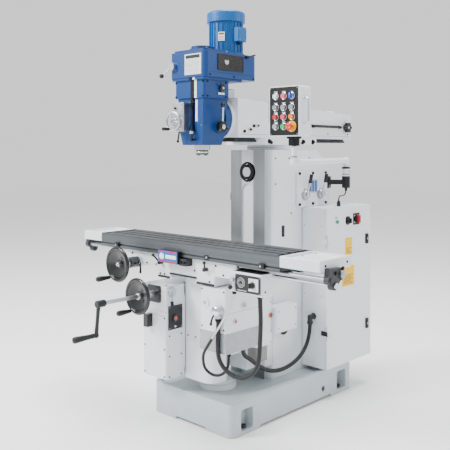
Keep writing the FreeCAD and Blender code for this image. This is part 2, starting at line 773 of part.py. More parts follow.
def knee_casting():
    """Knee: rounded front body, top way, tail and ears that grip the column way."""
    w = KNEE_W / 2
    y0 = KNEE_FRONT
    y1 = y0 + KNEE_NOSE
    y2 = PED_Y + PED_R
    y3 = COL_Y - 5
    z0 = BASE_H + KNEE_NOSE_Z
    ztail = BASE_H + KNEE_TAIL_Z
    outline = [(y0, z0), (y1, z0), (y1, KNEE_FLOOR), (y2, KNEE_FLOOR), (y2, ztail),
               (y3, ztail), (y3, KNEE_TOP), (y0, KNEE_TOP)]
    body = prism("x", outline, -w, w)
    nose = rbox(-w, w, y0, y0 + 3000, z0 - 1, KNEE_TOP + 1, 62)
    body = body.common(nose)
    ears = box(-KNEE_EAR_W / 2, KNEE_EAR_W / 2, y3 - KNEE_EAR_L, y3, ztail, KNEE_TOP - 20)
    body = body.fuse(ears)
    core = box(-w + 28, w - 28, y0 + 40, y3 - KNEE_EAR_L - 30, KNEE_FLOOR + 28, KNEE_TOP - 48)
    body = body.cut(core)
    ridge = prism("y", ridge_outline(0), y0 + 10, WAY_Y - 6)
    body = body.fuse(ridge)
    groove = prism("z", way_outline(WAY_W / 2, WAY_Y - SLIDE, COL_Y, WAY), 0, 3000)
    body = body.cut(groove)
    body = body.cut(rod("z", SCREW_R + FREE, 0, PED_Y, 0, KNEE_FLOOR + 60))
    return body.removeSplitter()


def knee_screw():
    """Lifting screw with its collar and bevel gear inside the knee."""
    top = KNEE_FLOOR + 90
    screw = rod("z", SCREW_R, 0, PED_Y, SCREW_FLOOR, top)
    collar = rod("z", SCREW_R + 16, 0, PED_Y, KNEE_FLOOR + 28 + APART, KNEE_FLOOR + 40)
    gear = cone("z", 58, 40, 0, PED_Y, KNEE_FLOOR + 50, KNEE_FLOOR + 80)
    return fuse(screw, collar, gear)


def knee_gearbox():
    """Hand feed gearbox on the left of the knee with its front flange."""
    w = KNEE_W / 2
    z0 = BASE_H + GB_BOTTOM_Z
    z1 = KNEE_TOP - GB_TOP_DROP
    outline = [(GB_X0, GB_FRONT), (GB_X1, GB_FRONT), (GB_X1, KNEE_FRONT - 2),
               (-w, KNEE_FRONT - 2), (-w, GB_BACK), (GB_X0, GB_BACK)]
    body = prism("z", outline, z0, z1)
    body = eased(body, "z", 9)
    seat = box(GB_X1 - 32, GB_X1, KNEE_FRONT - 22, KNEE_FRONT, z0 + 40, z1 - 60)
    body = body.fuse(seat)
    body = body.cut(rod("y", SLEEVE_R + RUN, CROSS_X, CROSS_Z, GB_FRONT - 1, GB_FRONT + 90))
    body = body.cut(rod("y", CRANK_SHAFT_R + RUN, CROSS_X, CROSS_Z, GB_FRONT + 80, GB_FRONT + 140))
    flange = rbox(CROSS_X - 50, CROSS_X + 50, GB_FRONT - 12, GB_FRONT, CROSS_Z - 46, CROSS_Z + 46, 8, "y")
    flange = flange.cut(rod("y", SLEEVE_R + RUN, CROSS_X, CROSS_Z, GB_FRONT - 20, GB_FRONT + 1))
    dial_y = GB_FRONT + 36
    body = body.cut(rod("x", 8 + RUN, dial_y, dial_z(), GB_X1 - 40, GB_X1 + 1))
    switch = box(CROSS_X - 52, CROSS_X - 18, GB_FRONT - 40, GB_FRONT, CROSS_Z - 185, CROSS_Z - 115)
    sight = rod("x", 17, GB_FRONT + 60, z0 + 330, GB_X1, GB_X1 + 9)
    cover = box(GB_X1, GB_X1 + 5, GB_FRONT + 12, KNEE_FRONT - 26, z0 + 270, z0 + 400)
    return group(body, flange, switch, fuse(cover, sight))


def dial_z():
    """Height of the small feed dial on the gearbox side."""
    return CROSS_Z + 15


def feed_dial_lever():
    """Small dial with a lever on the right of the gearbox."""
    y = GB_FRONT + 36
    x = GB_X1
    z = dial_z()
    disc = rod("x", DIAL_R, y, z, x + APART, x + 10)
    arm = bar((x + 8, y, z), (x + 22, y - 16, z - 52), 5)
    grip = bar((x + 20, y - 14, z - 46), (x + 30, y - 20, z - 70), 9)
    return fuse(disc, arm, grip, rod("x", 8, y, z, x - 34, x + 5))


def handwheel(x, z, y, r, handle_angle):
    """Dished wheel with a turned handle, axis along Y."""
    rim = Part.makeTorus(r - RIM_R, RIM_R, V(x, y, z), V(0, 1, 0))
    hub = rod("y", 25, x, z, y - 4, y + 34)
    edge = r - RIM_R - 5
    dish = cone("y", edge, 22, x, z, y + 2, y + 24)
    dish = dish.cut(cone("y", edge, 22, x, z, y + 2 - WEB_T, y + 24 - WEB_T))
    parts = [rim, hub, dish]
    a = math.radians(handle_angle)
    hx = x + (r - RIM_R - 2) * math.cos(a)
    hz = z + (r - RIM_R - 2) * math.sin(a)
    parts.append(rod("y", 7, hx, hz, y - 24, y + 2))
    parts.append(cone("y", 15, 10, hx, hz, y - 98, y - 22))
    parts.append(ball((hx, y - 98, hz), 14.5, (0, 1, 0)))
    return parts


def cross_handwheel():
    """Cross feed handwheel on its sleeve, with the graduated dial."""
    y = CROSS_WHEEL_Y
    parts = handwheel(CROSS_X, CROSS_Z, y, WHEEL_R, 247)
    parts.append(rod("y", SLEEVE_R, CROSS_X, CROSS_Z, y, GB_FRONT + 76))
    parts.append(rod("y", 38, CROSS_X, CROSS_Z, y + 34, y + 62))
    body = fuse(*parts)
    return body.cut(rod("y", CRANK_SHAFT_R + RUN, CROSS_X, CROSS_Z, y - 40, GB_FRONT + 99))


def knee_crank():
    """Lifting crank whose shaft runs through the cross feed sleeve."""
    x, z, y = CROSS_X, CROSS_Z, CRANK_Y
    shaft = rod("y", CRANK_SHAFT_R, x, z, y, GB_FRONT + 130)
    hub = rod("y", 19, x, z, y - 14, y + 40)
    a = math.radians(263)
    ex = x + CRANK_ARM * math.cos(a)
    ez = z + CRANK_ARM * math.sin(a)
    arm = bar((x, y, z), (ex, y, ez), 12)
    pin = rod("y", 8, ex, ez, y - 30, y)
    grip = cone("y", 17, 13, ex, ez, y - 16 - CRANK_GRIP_L, y - 16)
    return fuse(shaft, hub, arm, ball((ex, y, ez), 15, (ex - x, 0, ez - z)), pin, grip)


def knee_feed_box():
    """Feed box on the right of the knee and the drive housings behind it."""
    x0 = KNEE_W / 2
    z1 = KNEE_TOP - 5
    z0 = z1 - FB_H
    main = rbox(x0, x0 + FB_W, FB_FRONT, FB_BACK, z0, z1, 12)
    neck = box(x0, x0 + 86, FB_BACK, FB_BACK + 90, z0 + 30, z1 - 120)
    main = fuse(main, neck)
    knob = rod("y", 26, x0 + FB_W - 38, z1 - 110, FB_FRONT - 30, FB_FRONT)
    knob = fuse(knob, rod("z", HOSE_R + 3, x0 + FB_W - 38, FB_FRONT - 16, z1 - 150, z1 - 120))
    y3 = COL_Y - 5 - KNEE_EAR_L - 2
    drive = rbox(x0, x0 + 92, FB_BACK + 92, y3, z0 - 55, z1 - 140, 8)
    wing = rbox(KNEE_EAR_W / 2 + 6, x0 + 122, y3, y3 + 200, z0 + 5, z0 + 150, 10)
    sump = rbox(x0, x0 + 76, FB_BACK + 120, y3 - 20, z0 - 145, z0 - 55, 8)
    bolt = rod("x", 14, FB_BACK + 140, z0 + 60, x0 + 92, x0 + 100)
    return group(main, knob, drive, wing, sump, bolt)


# ---- saddle and table feed -----------------------------------------------------------
def dove_outline(grow):
    """Dovetail under the table along X: wider at its foot."""
    h = DOVE_W / 2 + grow
    z1 = TABLE_Z0 + 1
    z0 = TABLE_Z0 - DOVE_H - grow
    return [(TABLE_MID - h, z1), (TABLE_MID + h, z1),
            (TABLE_MID + h + DOVE_FLARE, z0), (TABLE_MID - h - DOVE_FLARE, z0)]


def saddle_casting():
    """Saddle: pad on the knee way, long wings, table groove and screw nut."""
    z1 = SADDLE_TOP
    zw = z1 - SADDLE_WING_T
    back = SADDLE_FRONT + SADDLE_WIDTH
    wing = box(SADDLE_LEFT, SADDLE_RIGHT, SADDLE_FRONT, back, zw, z1)
    wing = eased(wing, "y", 8)
    pad = box(SADDLE_PAD_X0, SADDLE_PAD_X1, SADDLE_FRONT, SADDLE_PAD_BACK, SADDLE_Z0, zw + 10)
    body = fuse(wing, pad)
    body = body.cut(prism("y", ridge_outline(WAY), -500, 900))
    body = body.cut(prism("x", dove_outline(WAY), -900, 900))
    boss = rod("y", TW_BOSS_R, TW_X, TW_Z, SADDLE_FRONT - 78, SADDLE_FRONT + 60)
    body = body.fuse(boss)
    body = body.cut(box(SADDLE_LEFT, SADDLE_RIGHT, SADDLE_FRONT, back, z1, z1 + 50))
    body = body.cut(rod("y", TW_SHAFT_R + RUN, TW_X, TW_Z, SADDLE_FRONT - 90, SADDLE_FRONT + 40))
    body = body.cut(rod("x", FEEDSHAFT_R + FREE, FEEDSHAFT_Y, FEEDSHAFT_Z, -900, 900))
    body = body.cut(rod("x", STOPROD_R + FREE, STOPROD_Y, STOPROD_Z, -900, 900))
    for x in lock_places():
        body = body.cut(rod("y", 6 + RUN, x, lock_z(), SADDLE_FRONT - 1, SADDLE_FRONT + 26))
    z0 = TABLE_Z0 - DOVE_H - WAY
    nut = box(-45, 45, TABLE_MID - CHANNEL_W / 2 + 6, TABLE_MID + CHANNEL_W / 2 - 6,
              z0, TABLE_Z0 + CHANNEL_UP - 4)
    nut = nut.cut(rod("x", LEAD_R + RUN, TABLE_MID, LEAD_Z, -60, 60))
    switch = box(-138, 15, TABLE_FRONT - 29, TABLE_FRONT - 3, TABLE_Z0 - 37, TABLE_Z0 + 30)
    back_box = box(-120, 72, TABLE_FRONT - 3, SADDLE_FRONT, TABLE_Z0 - 43, TABLE_Z0 - 5)
    side_box = box(15, 72, TABLE_FRONT - 17, TABLE_FRONT - 3, TABLE_Z0 - 43, TABLE_Z0 - 5)
    return group(body, nut, fuse(switch, back_box, side_box))


def lock_places():
    """Places along X of the two table locks."""
    return (-174.0, 180.0)


def lock_z():
    """Height of the table locks."""
    return SADDLE_TOP - 50


def lock_lever(x, angle):
    """Clamp lever on the saddle front."""
    z = lock_z()
    y = SADDLE_FRONT
    screw = rod("y", 6, x, z, y - 20, y + 22)
    hub = rod("y", 11, x, z, y - 24, y - APART)
    a = math.radians(angle)
    tip = (x + 48 * math.cos(a), y - 44, z + 48 * math.sin(a))
    root = (x, y - 16, z)
    return fuse(screw, hub, bar(root, tip, 5), ball(tip, 9, aim(root, tip)))


def feed_x0():
    """Left end of the table feed gearbox, against the saddle."""
    return SADDLE_RIGHT


def feed_gearbox():
    """Table feed gearbox with its sloped control face."""
    x0 = feed_x0()
    z1 = TABLE_Z0 - FEED_TOP_DROP
    z0 = z1 - FEED_H
    y1 = FEED_FRONT + FEED_D
    outline = [(FEED_FRONT, z0), (y1, z0), (y1, z1), (FEED_FRONT + 8, z1), (FEED_FRONT, z1 - 8)]
    body = prism("x", outline, x0, x0 + FEED_W)
    body = body.cut(rod("x", FEEDSHAFT_R + FREE, FEEDSHAFT_Y, FEEDSHAFT_Z, 0, 900))
    sx, sz = feed_knob_place()
    body = body.cut(rod("y", 7 + RUN, sx, sz, FEED_FRONT - 1, FEED_FRONT + 40))
    lx, lz = feed_lever_place()
    body = body.cut(rod("y", 7 + RUN, lx, lz, FEED_FRONT - 1, FEED_FRONT + 40))
    panel = box(x0 + 34, x0 + FEED_W - 2, FEED_FRONT - 3, FEED_FRONT, z0 + 4, z1 - 10)
    panel = panel.cut(rod("y", 7 + RUN, sx, sz, FEED_FRONT - 9, FEED_FRONT + 4))
    lower = rbox(x0 + 60, x0 + FEED_W - 40, FEED_FRONT + 70, y1 + 10, z0 - 26, z0, 6)
    return group(body, panel, lower)


def feed_knob_place():
    """Centre of the feed rate knob."""
    return (feed_x0() + 148, TABLE_Z0 - 80)


def feed_lever_place():
    """Centre of the feed direction lever."""
    return (feed_x0() + 17, TABLE_Z0 - 66)


def feed_selector():
    """Feed rate knob."""
    x, z = feed_knob_place()
    y = FEED_FRONT - 3
    knob = cone("y", 13, 17, x, z, y - 22, y - APART)
    wing = box(x - 3, x + 3, y - 27, y - 20, z - 12, z + 12)
    return fuse(knob, wing, rod("y", 7, x, z, y - 10, y + 36))


def feed_lever():
    """Feed direction lever with a ball."""
    x, z = feed_lever_place()
    y = FEED_FRONT
    hub = rod("y", 13, x, z, y - 14, y - APART)
    root = (x, y - 8, z)
    tip = (x - 2, y - 18, z - 38)
    return fuse(hub, bar(root, tip, 5), ball(tip, 12, aim(root, tip)), rod("y", 7, x, z, y - 8, y + 36))


def table_handwheel():
    """Table handwheel with dial and shaft in the saddle boss."""
    y = TW_WHEEL_Y
    front = SADDLE_FRONT - 78
    parts = handwheel(TW_X, TW_Z, y, WHEEL_R, 240)
    parts.append(rod("y", 38, TW_X, TW_Z, y + 34, front - APART))
    parts.append(rod("y", TW_SHAFT_R, TW_X, TW_Z, y, SADDLE_FRONT + 38))
    return fuse(*parts)


def table_top():
    """Table with three T slots, end gutters, front groove and dovetail."""
    h = TABLE_L / 2
    y0 = TABLE_FRONT
    body = box(-h, h, y0, y0 + TABLE_W, TABLE_Z0, TABLE_TOP)
    body = body.fuse(prism("x", dove_outline(0), -h, h))
    channel = box(-h - 1, h + 1, TABLE_MID - CHANNEL_W / 2, TABLE_MID + CHANNEL_W / 2,
                  TABLE_Z0 - DOVE_H - 1, TABLE_Z0 + CHANNEL_UP)
    body = body.cut(channel)
    for k in (-1, 0, 1):
        y = TABLE_MID + k * SLOT_PITCH
        z = TABLE_TOP - SLOT_NECK
        body = body.cut(box(-h - 1, h + 1, y - SLOT_W / 2, y + SLOT_W / 2, z, TABLE_TOP + 1))
        body = body.cut(box(-h - 1, h + 1, y - SLOT_HEAD_W / 2, y + SLOT_HEAD_W / 2,
                            z - SLOT_HEAD, z))
    for s in (-1, 1):
        x0, x1 = sorted((s * (h - 34), s * (h - 14)))
        body = body.cut(box(x0, x1, y0 + 14, y0 + TABLE_W - 14, TABLE_TOP - 10, TABLE_TOP + 1))
    z = TABLE_TOP - 57
    body = body.cut(box(-h - 1, h + 1, y0 - 1, y0 + 6, z - 4.5, z + 4.5))
    return body.removeSplitter()


def end_cover(x0, x1):
    """Coolant return cover at a table end, open underneath."""
    y0 = TABLE_FRONT
    y1 = y0 + END_W
    z0 = TABLE_TOP - END_H
    body = rbox(x0, x1, y0, y1, z0, TABLE_TOP, 5, "x")
    body = body.cut(box(x0 + 5, x1 - 5, y0 + 5, y1 - 5, z0 - 1, TABLE_TOP - 18))
    trough = rbox(x0 + 12, x1 - 12, y0 + 14, y1 - 14, TABLE_TOP - 10, TABLE_TOP + 1, 8)
    return body.cut(trough)


def table_end_covers():
    """The covers at both ends of the table."""
    h = TABLE_L / 2
    return group(end_cover(-h - END_LEFT, -h), end_cover(h, h + END_RIGHT))


def lobe_bracket(x0):
    """Three lobed bracket that holds the ends of the shafts."""
    x1 = x0 + BRACKET_T
    lobes = [(TABLE_MID, LEAD_Z, 27), (FEEDSHAFT_Y, FEEDSHAFT_Z, 22), (STOPROD_Y, STOPROD_Z, 22)]
    body = rod("x", lobes[0][2], lobes[0][0], lobes[0][1], x0, x1)
    for y, z, r in lobes[1:]:
        body = body.fuse(rod("x", r, y, z, x0, x1))
    web = [(STOPROD_Y - 20, STOPROD_Z + 8), (FEEDSHAFT_Y, FEEDSHAFT_Z - 18),
           (TABLE_MID, LEAD_Z - 24), (TABLE_MID + 14, TABLE_TOP - END_H + 12),
           (STOPROD_Y - 8, TABLE_TOP - END_H + 18)]
    body = fuse(body, prism("x", web, x0, x1))
    body = body.cut(rod("x", LEAD_R + RUN, TABLE_MID, LEAD_Z, x0 - 1, x1 + 1))
    return body.cut(rod("x", FEEDSHAFT_R + RUN, FEEDSHAFT_Y, FEEDSHAFT_Z, x0 - 1, x1 + 1))


def end_bracket():
    """Both end brackets and the stop rod between them."""
    h = TABLE_L / 2
    right = lobe_bracket(h + END_RIGHT)
    left = lobe_bracket(-h - END_LEFT - BRACKET_T)
    x0 = -h - END_LEFT - BRACKET_T
    stop = rod("x", STOPROD_R, STOPROD_Y, STOPROD_Z, x0 - 6, h + END_RIGHT + BRACKET_T + 6)
    return group(fuse(right, left, stop))


def table_leadscrew():
    """Leadscrew between the end brackets, with a collar outside each of them."""
    h = TABLE_L / 2
    x0 = -h - END_LEFT - BRACKET_T
    x1 = h + END_RIGHT + BRACKET_T
    screw = rod("x", LEAD_R, TABLE_MID, LEAD_Z, x0 - 14, x1 + 14)
    left = rod("x", 20, TABLE_MID, LEAD_Z, x0 - 12, x0 - APART)
    right = rod("x", 20, TABLE_MID, LEAD_Z, x1 + APART, x1 + 12)
    return fuse(screw, left, right)


def feed_shaft():
    """Splined feed shaft through the gearbox, held by the right bracket."""
    x1 = TABLE_L / 2 + END_RIGHT + BRACKET_T
    shaft = rod("x", FEEDSHAFT_R, FEEDSHAFT_Y, FEEDSHAFT_Z, -100, x1 + 10)
    return fuse(shaft, rod("x", 14, FEEDSHAFT_Y, FEEDSHAFT_Z, x1 + APART, x1 + 10))


# ---- turret and ram -----------------------------------------------------------------
def ram_dove(grow):
    """Dovetail under the ram along Y: wider at its foot."""
    h = RAM_DOVE_W / 2 - RAM_DOVE_FLARE + grow
    z1 = RAM_Z0 + 1
    z0 = RAM_Z0 - RAM_DOVE_H - grow
    return [(-h, z1), (h, z1), (h + RAM_DOVE_FLARE, z0), (-h - RAM_DOVE_FLARE, z0)]


def turret_block():
    """Swivel disc and grooved block that carries the ram, with its clamp screws."""
    disc = rod("z", TURRET_R, 0, TURRET_Y, TURRET_Z0, TURRET_Z0 + TURRET_DISC)
    w = TURRET_W / 2
    z0 = TURRET_Z0 + TURRET_DISC
    block = rbox(-w, w, TURRET_FRONT, TURRET_BACK, z0, TURRET_TOP, 10)
    body = fuse(disc, block)
    body = body.cut(prism("y", ram_dove(WAY), 0, 2000))
    bolts = []
    for y in (TURRET_FRONT + 47, TURRET_Y + 92, TURRET_BACK - 50):
        bolts.append(hex_bolt("x", y, z0 + 13, w, w + BOLT_H))
    return group(body, *bolts)


def ram_casting():
    """Ram with its dovetail, front flange, tilt gear housing and side rod."""
    w = RAM_W / 2
    outline = [(RAM_FRONT, RAM_Z0), (RAM_BACK, RAM_Z0), (RAM_BACK, RAM_Z0 + RAM_REAR_H),
               (RAM_FRONT, RAM_Z0 + RAM_H)]
    body = prism("x", outline, -w, w)
    dove = prism("y", ram_dove(0), RAM_FRONT + 18, RAM_BACK - 12)
    flange = rod("y", RAM_FLANGE_R, 0, TILT_Z, RAM_FLANGE_Y, RAM_FRONT + 1)
    body = fuse(body, dove, flange)
    housing = rbox(-50, 50, RAM_FRONT + 3, RAM_FRONT + 60, RAM_Z0 + RAM_H - 4,
                   RAM_Z0 + RAM_H + 56, 10, "y")
    body = body.cut(rod("x", 12 + RUN, pinion_y(), pinion_z(), w - 60, w + 1))
    rib = bar((w + 8, RAM_FRONT + 690, pinion_z()), (w + 8, pinion_y() - 54, pinion_z()), 6)
    pads = []
    for y in (RAM_FRONT + 700, pinion_y() - 70):
        pads.append(box(w, w + 14, y - 8, y + 8, pinion_z() - 9, pinion_z() + 9))
    bolts = [hex_bolt("x", RAM_FRONT + 53, RAM_Z0 + 35, w, w + BOLT_H),
             hex_bolt("x", RAM_FRONT + 135, RAM_Z0 + 67, w, w + BOLT_H)]
    cap = rod("z", 40, 0, RAM_BACK - 80, RAM_Z0 + RAM_REAR_H - 6, RAM_Z0 + RAM_REAR_H + 28)
    return group(fuse(body, housing, cap), fuse(rib, *pads), *bolts)


def pinion_y():
    """Place along the ram of its hand pinion."""
    return RAM_BACK - 74


def pinion_z():
    """Height of the ram hand pinion."""
    return RAM_Z0 + 78


def ram_handwheel():
    """Star knob on the ram pinion with a short lever."""
    x = RAM_W / 2
    y = pinion_y()
    z = pinion_z()
    shaft = rod("x", 12, y, z, x - 52, x + 20)
    star = rod("x", 26, y, z, x + 14, x + 34)
    collar = rod("x", 20, y, z, x + APART, x + 14)
    parts = [shaft, star, collar]
    for k in range(6):
        a = math.radians(60 * k)
        parts.append(rod("x", 9, y + 27 * math.cos(a), z + 27 * math.sin(a), x + 14, x + 34))
    return fuse(*parts)


# ---- head ---------------------------------------------------------------------------
def quill_housing():
    """Tapered lower housing of the head, before its bores."""
    z1 = BOX_Z0 + 1
    zt = HEAD_Z0 + HEAD_TAPER
    w = HEAD_W / 2
    n = HEAD_NOSE_W / 2
    front = prism("y", [(-n, HEAD_Z0), (n, HEAD_Z0), (w, zt), (w, z1), (-w, z1), (-w, zt)],
                  HEAD_FRONT - 5, HEAD_REAR)
    side = prism("x", [(HEAD_FRONT + 15, HEAD_Z0), (HEAD_REAR - 26, HEAD_Z0), (HEAD_REAR, zt),
                       (HEAD_REAR, z1), (HEAD_FRONT, z1), (HEAD_FRONT, zt)], -w - 5, w + 5)
    return front.common(side)


def stop_block_z():
    """Foot of the depth stop block with the quill raised."""
    return HEAD_Z0 + 203


def head_housing():
    """Head casting: quill housing, gearbox, tilt disc, top plate and depth stop rod."""
    lower = quill_housing()
    b = BOX_W / 2
    gear = rbox(-b, b, HEAD_FRONT - 10, HEAD_REAR, BOX_Z0, PLATE_Z0, 14)
    plate = rbox(-BELT_W / 2 + 12, BELT_W / 2 - 12, BELT_FRONT + 4, BELT_FRONT + 312,
                 PLATE_Z0, BELT_Z0, 10)
    disc = rod("y", RAM_FLANGE_R - 3, 0, TILT_Z, HEAD_REAR - 25, HEAD_REAR + HEAD_DISC_T)
    disc = disc.cut(box(-200, 200, 0, HEAD_REAR, 0, HEAD_Z0 + 60))
    boss = rod("x", QL_HUB_R + 6, QL_Y, QL_Z, HEAD_W / 2 - 50, HEAD_W / 2 + 6)
    body = fuse(lower, gear, plate, disc, boss)
    body = body.cut(rod("z", QUILL_R + RUN, 0, SPINDLE_Y, 0, QUILL_Z0 + QUILL_L + 12))
    body = body.cut(rod("z", SPINDLE_R + 2, 0, SPINDLE_Y, 0, BELT_Z0 + 1))
    z0 = stop_block_z()
    slot = box(STOP_X - 9, STOP_X + 9, HEAD_FRONT - 20, SPINDLE_Y, z0 - QUILL_STROKE - 3, z0 + 28)
    body = body.cut(slot)
    body = body.cut(rod("x", 10 + RUN, QL_Y, QL_Z, HEAD_W / 2 - 22, HEAD_W / 2 + 9))
    stop = rod("z", 5, STOP_X, HEAD_FRONT - 13, HEAD_Z0 + 18, BOX_Z0 - 2)
    nut = rod("z", 12, STOP_X, HEAD_FRONT - 13, z0 - QUILL_STROKE - 22, z0 - QUILL_STROKE - 5)
    lugs = []
    for z in (HEAD_Z0 + 24, BOX_Z0 - 16):
        lugs.append(box(STOP_X - 8, STOP_X + 8, HEAD_FRONT - 20, HEAD_FRONT + 20, z, z + 10))
    rail = fuse(stop, nut, *lugs).cut(body)
    scale = box(STOP_X + 18, STOP_X + 34, HEAD_FRONT - 3, HEAD_FRONT, HEAD_Z0 + 128, BOX_Z0 - 10)
    return group(body, rail, scale, fine_feed_box())


def depth_stop():
    """Block on the quill that runs down the stop rod."""
    z0 = stop_block_z()
    block = box(STOP_X - 7, STOP_X + 7, HEAD_FRONT - 26, SPINDLE_Y, z0, z0 + 24)
    block = block.cut(rod("z", QUILL_R, 0, SPINDLE_Y, z0 - 1, z0 + 30))
    block = block.cut(rod("z", 5 + APART, STOP_X, HEAD_FRONT - 13, z0 - 1, z0 + 30))
    return Part.makeCompound([max(block.Solids, key=lambda s: s.Volume)])


def quill():
    """Quill sleeve that carries the spindle."""
    z1 = QUILL_Z0 + QUILL_L
    body = rod("z", QUILL_R, 0, SPINDLE_Y, QUILL_Z0, z1)
    return body.cut(rod("z", SPINDLE_R + RUN, 0, SPINDLE_Y, QUILL_Z0 - 1, z1 + 1))


def spindle():
    """Vertical spindle: nose with taper and keys, shaft and spline."""
    z0 = SPINDLE_Z0
    nose = rod("z", NOSE_R, 0, SPINDLE_Y, z0, QUILL_Z0 - APART)
    shaft = rod("z", SPINDLE_R, 0, SPINDLE_Y, z0 + 2, QUILL_Z0 + QUILL_L + 2)
    spline = rod("z", SPLINE_R, 0, SPINDLE_Y, QUILL_Z0, BELT_Z0 + SPLINE_TOP)
    body = fuse(nose, shaft, spline)
    body = body.cut(cone("z", TAPER_R, TAPER_R * 0.62, 0, SPINDLE_Y, z0 - 0.01, z0 + 70))
    for s in (-1, 1):
        x = s * (NOSE_R - 8)
        body = body.fuse(box(x - 5, x + 5, SPINDLE_Y - 6, SPINDLE_Y + 6, z0 - 5, z0 + 3))
    return body.removeSplitter()


def belt_housing():
    """Belt and gear housing on top of the head, with its ribbed dome."""
    w = BELT_W / 2
    y1 = BELT_FRONT + BELT_L
    body = rbox(-w, w, BELT_FRONT, y1, BELT_Z0, BELT_TOP, 30)
    step = rbox(-w + 14, w - 14, BELT_FRONT + 14, BELT_FRONT + 190, BELT_TOP - 1, BELT_TOP + 12, 24)
    body = fuse(body, step)
    top = BELT_TOP + 12
    dome = rod("z", 62, 0, SPINDLE_Y, top - 1, top + 26)
    body = fuse(body, dome)
    for k in (-1, 0, 1):
        body = body.fuse(box(-70, 70, SPINDLE_Y + 26 * k - 4, SPINDLE_Y + 26 * k + 4, top - 1, top + 20))
    body = body.removeSplitter()
    body = body.cut(rod("z", SPINDLE_R + 2, 0, SPINDLE_Y, BELT_Z0 - 1, BELT_Z0 + SPLINE_TOP + 10))
    sx, sz = speed_lever_place()
    body = body.cut(rod("y", 8 + RUN, sx, sz, BELT_FRONT - 1, BELT_FRONT + 40))
    chart = box(-14, 112, BELT_FRONT - 3, BELT_FRONT, BELT_Z0 + 14, BELT_TOP - 16)
    window = box(w, w + 3, BELT_FRONT + 98, BELT_FRONT + 300, BELT_Z0 + 44, BELT_TOP - 16)
    latch = fuse(rod("x", 9, BELT_FRONT + 330, BELT_TOP - 12, w, w + 14),
                 bar((w + 10, BELT_FRONT + 330, BELT_TOP - 12), (w + 16, BELT_FRONT + 386, BELT_TOP + 4), 5))
    return group(body, chart, window, latch)


def speed_lever_place():
    """Centre of the speed change lever on the belt housing front."""
    return (-106.0, BELT_Z0 + 66)


def speed_lever():
    """Speed change lever with a ball."""
    x, z = speed_lever_place()
    y = BELT_FRONT
    hub = rod("y", 23, x, z, y - 22, y - APART)
    root = (x, y - 14, z)
    tip = (x - 70, y - 27, z - 47)
    return fuse(hub, bar(root, tip, 5), ball(tip, 13, aim(root, tip)), rod("y", 8, x, z, y - 15, y + 36))


def head_motor():
    """Vertical motor with flange, finned body, fan cap and terminal box."""
    z0 = BELT_TOP
    flange = rod("z", MOTOR_R + 9, 0, MOTOR_Y, z0, MOTOR_Z0)
    body = rod("z", MOTOR_R - 4, 0, MOTOR_Y, MOTOR_Z0, MOTOR_Z0 + MOTOR_H + 2)
    fins = []
    for k in range(24):
        fin = box(MOTOR_R - 12, MOTOR_R + 1, -2.5, 2.5, 0, MOTOR_H - 10)
        fin.rotate(V(0, 0, 0), V(0, 0, 1), 15 * k)
        fin.translate(V(0, MOTOR_Y, MOTOR_Z0 + 4))
        fins.append(fin)
    z1 = MOTOR_Z0 + MOTOR_H
    cap = rod("z", CAP_R, 0, MOTOR_Y, z1, z1 + CAP_H)
    cap = cap.makeFillet(16, [e for e in cap.Edges if e.BoundBox.ZMin > z1 + CAP_H - 1])
    term = rbox(MOTOR_R - 14, MOTOR_R + 30, MOTOR_Y - 34, MOTOR_Y + 34, MOTOR_Z0 + 60, z1 - 36, 5, "x")
    return fuse(flange, body, cap, term, *fins)


def fine_feed_box():
    """Apron on the head front that holds the fine feed worm."""
    x1 = FEEDBOX_X
    x0 = x1 - FEEDBOX_W
    y1 = HEAD_FRONT
    z0 = HEAD_Z0 + 74
    body = rbox(x0, x1, y1 - FEEDBOX_D, y1, z0, z0 + FEEDBOX_H, 8, "y")
    body = body.cut(rod("y", 8 + RUN, fine_x(), fine_z(), y1 - FEEDBOX_D - 1, y1 - 8))
    root = (x0 + 32, y1 - 24, z0 + 2)
    tip = (x0 + 22, y1 - 26, z0 - 54)
    trip = fuse(bar(root, tip, 4.5), ball(tip, 8, aim(root, tip)))
    return fuse(body, trip)


def fine_x():
    """Place along X of the fine feed wheel."""
    return FEEDBOX_X - FEEDBOX_W / 2


def fine_z():
    """Height of the fine feed wheel."""
    return HEAD_Z0 + 128


def fine_feed_wheel():
    """Small rimmed wheel of the fine feed with its handle."""
    x = fine_x()
    z = fine_z()
    y = HEAD_FRONT - FEEDBOX_D - 38
    rim = Part.makeTorus(FINE_WHEEL_R - 6, 6, V(x, y, z), V(0, 1, 0))
    parts = [rim, rod("y", 16, x, z, y - 8, HEAD_FRONT - FEEDBOX_D - APART)]
    for k in range(3):
        a = math.radians(236 + 120 * k)
        parts.append(bar((x, y, z), (x + 51 * math.cos(a), y, z + 51 * math.sin(a)), 6))
    a = math.radians(236)
    hx = x + (FINE_WHEEL_R - 7) * math.cos(a)
    hz = z + (FINE_WHEEL_R - 7) * math.sin(a)
    parts.append(rod("y", 9, hx, hz, y - 48, y))
    parts.append(rod("y", 8, x, z, y, HEAD_FRONT - 10))
    return fuse(*parts)


def quill_lever():
    """Quill feed lever: hub in the head, arm and ball."""
    x = HEAD_W / 2 + 6
    hub = rod("x", QL_HUB_R, QL_Y, QL_Z, x + APART, x + 26)
    shaft = rod("x", 10, QL_Y, QL_Z, x - 26, x + 10)
    a = math.radians(101)
    ty = QL_Y + QL_ARM * math.cos(a)
    tz = QL_Z + QL_ARM * math.sin(a)
    root = (x + 20, QL_Y, QL_Z)
    tip = (x + 46, ty, tz)
    return fuse(hub, shaft, bar(root, tip, 6), ball(tip, 14, aim(root, tip)))


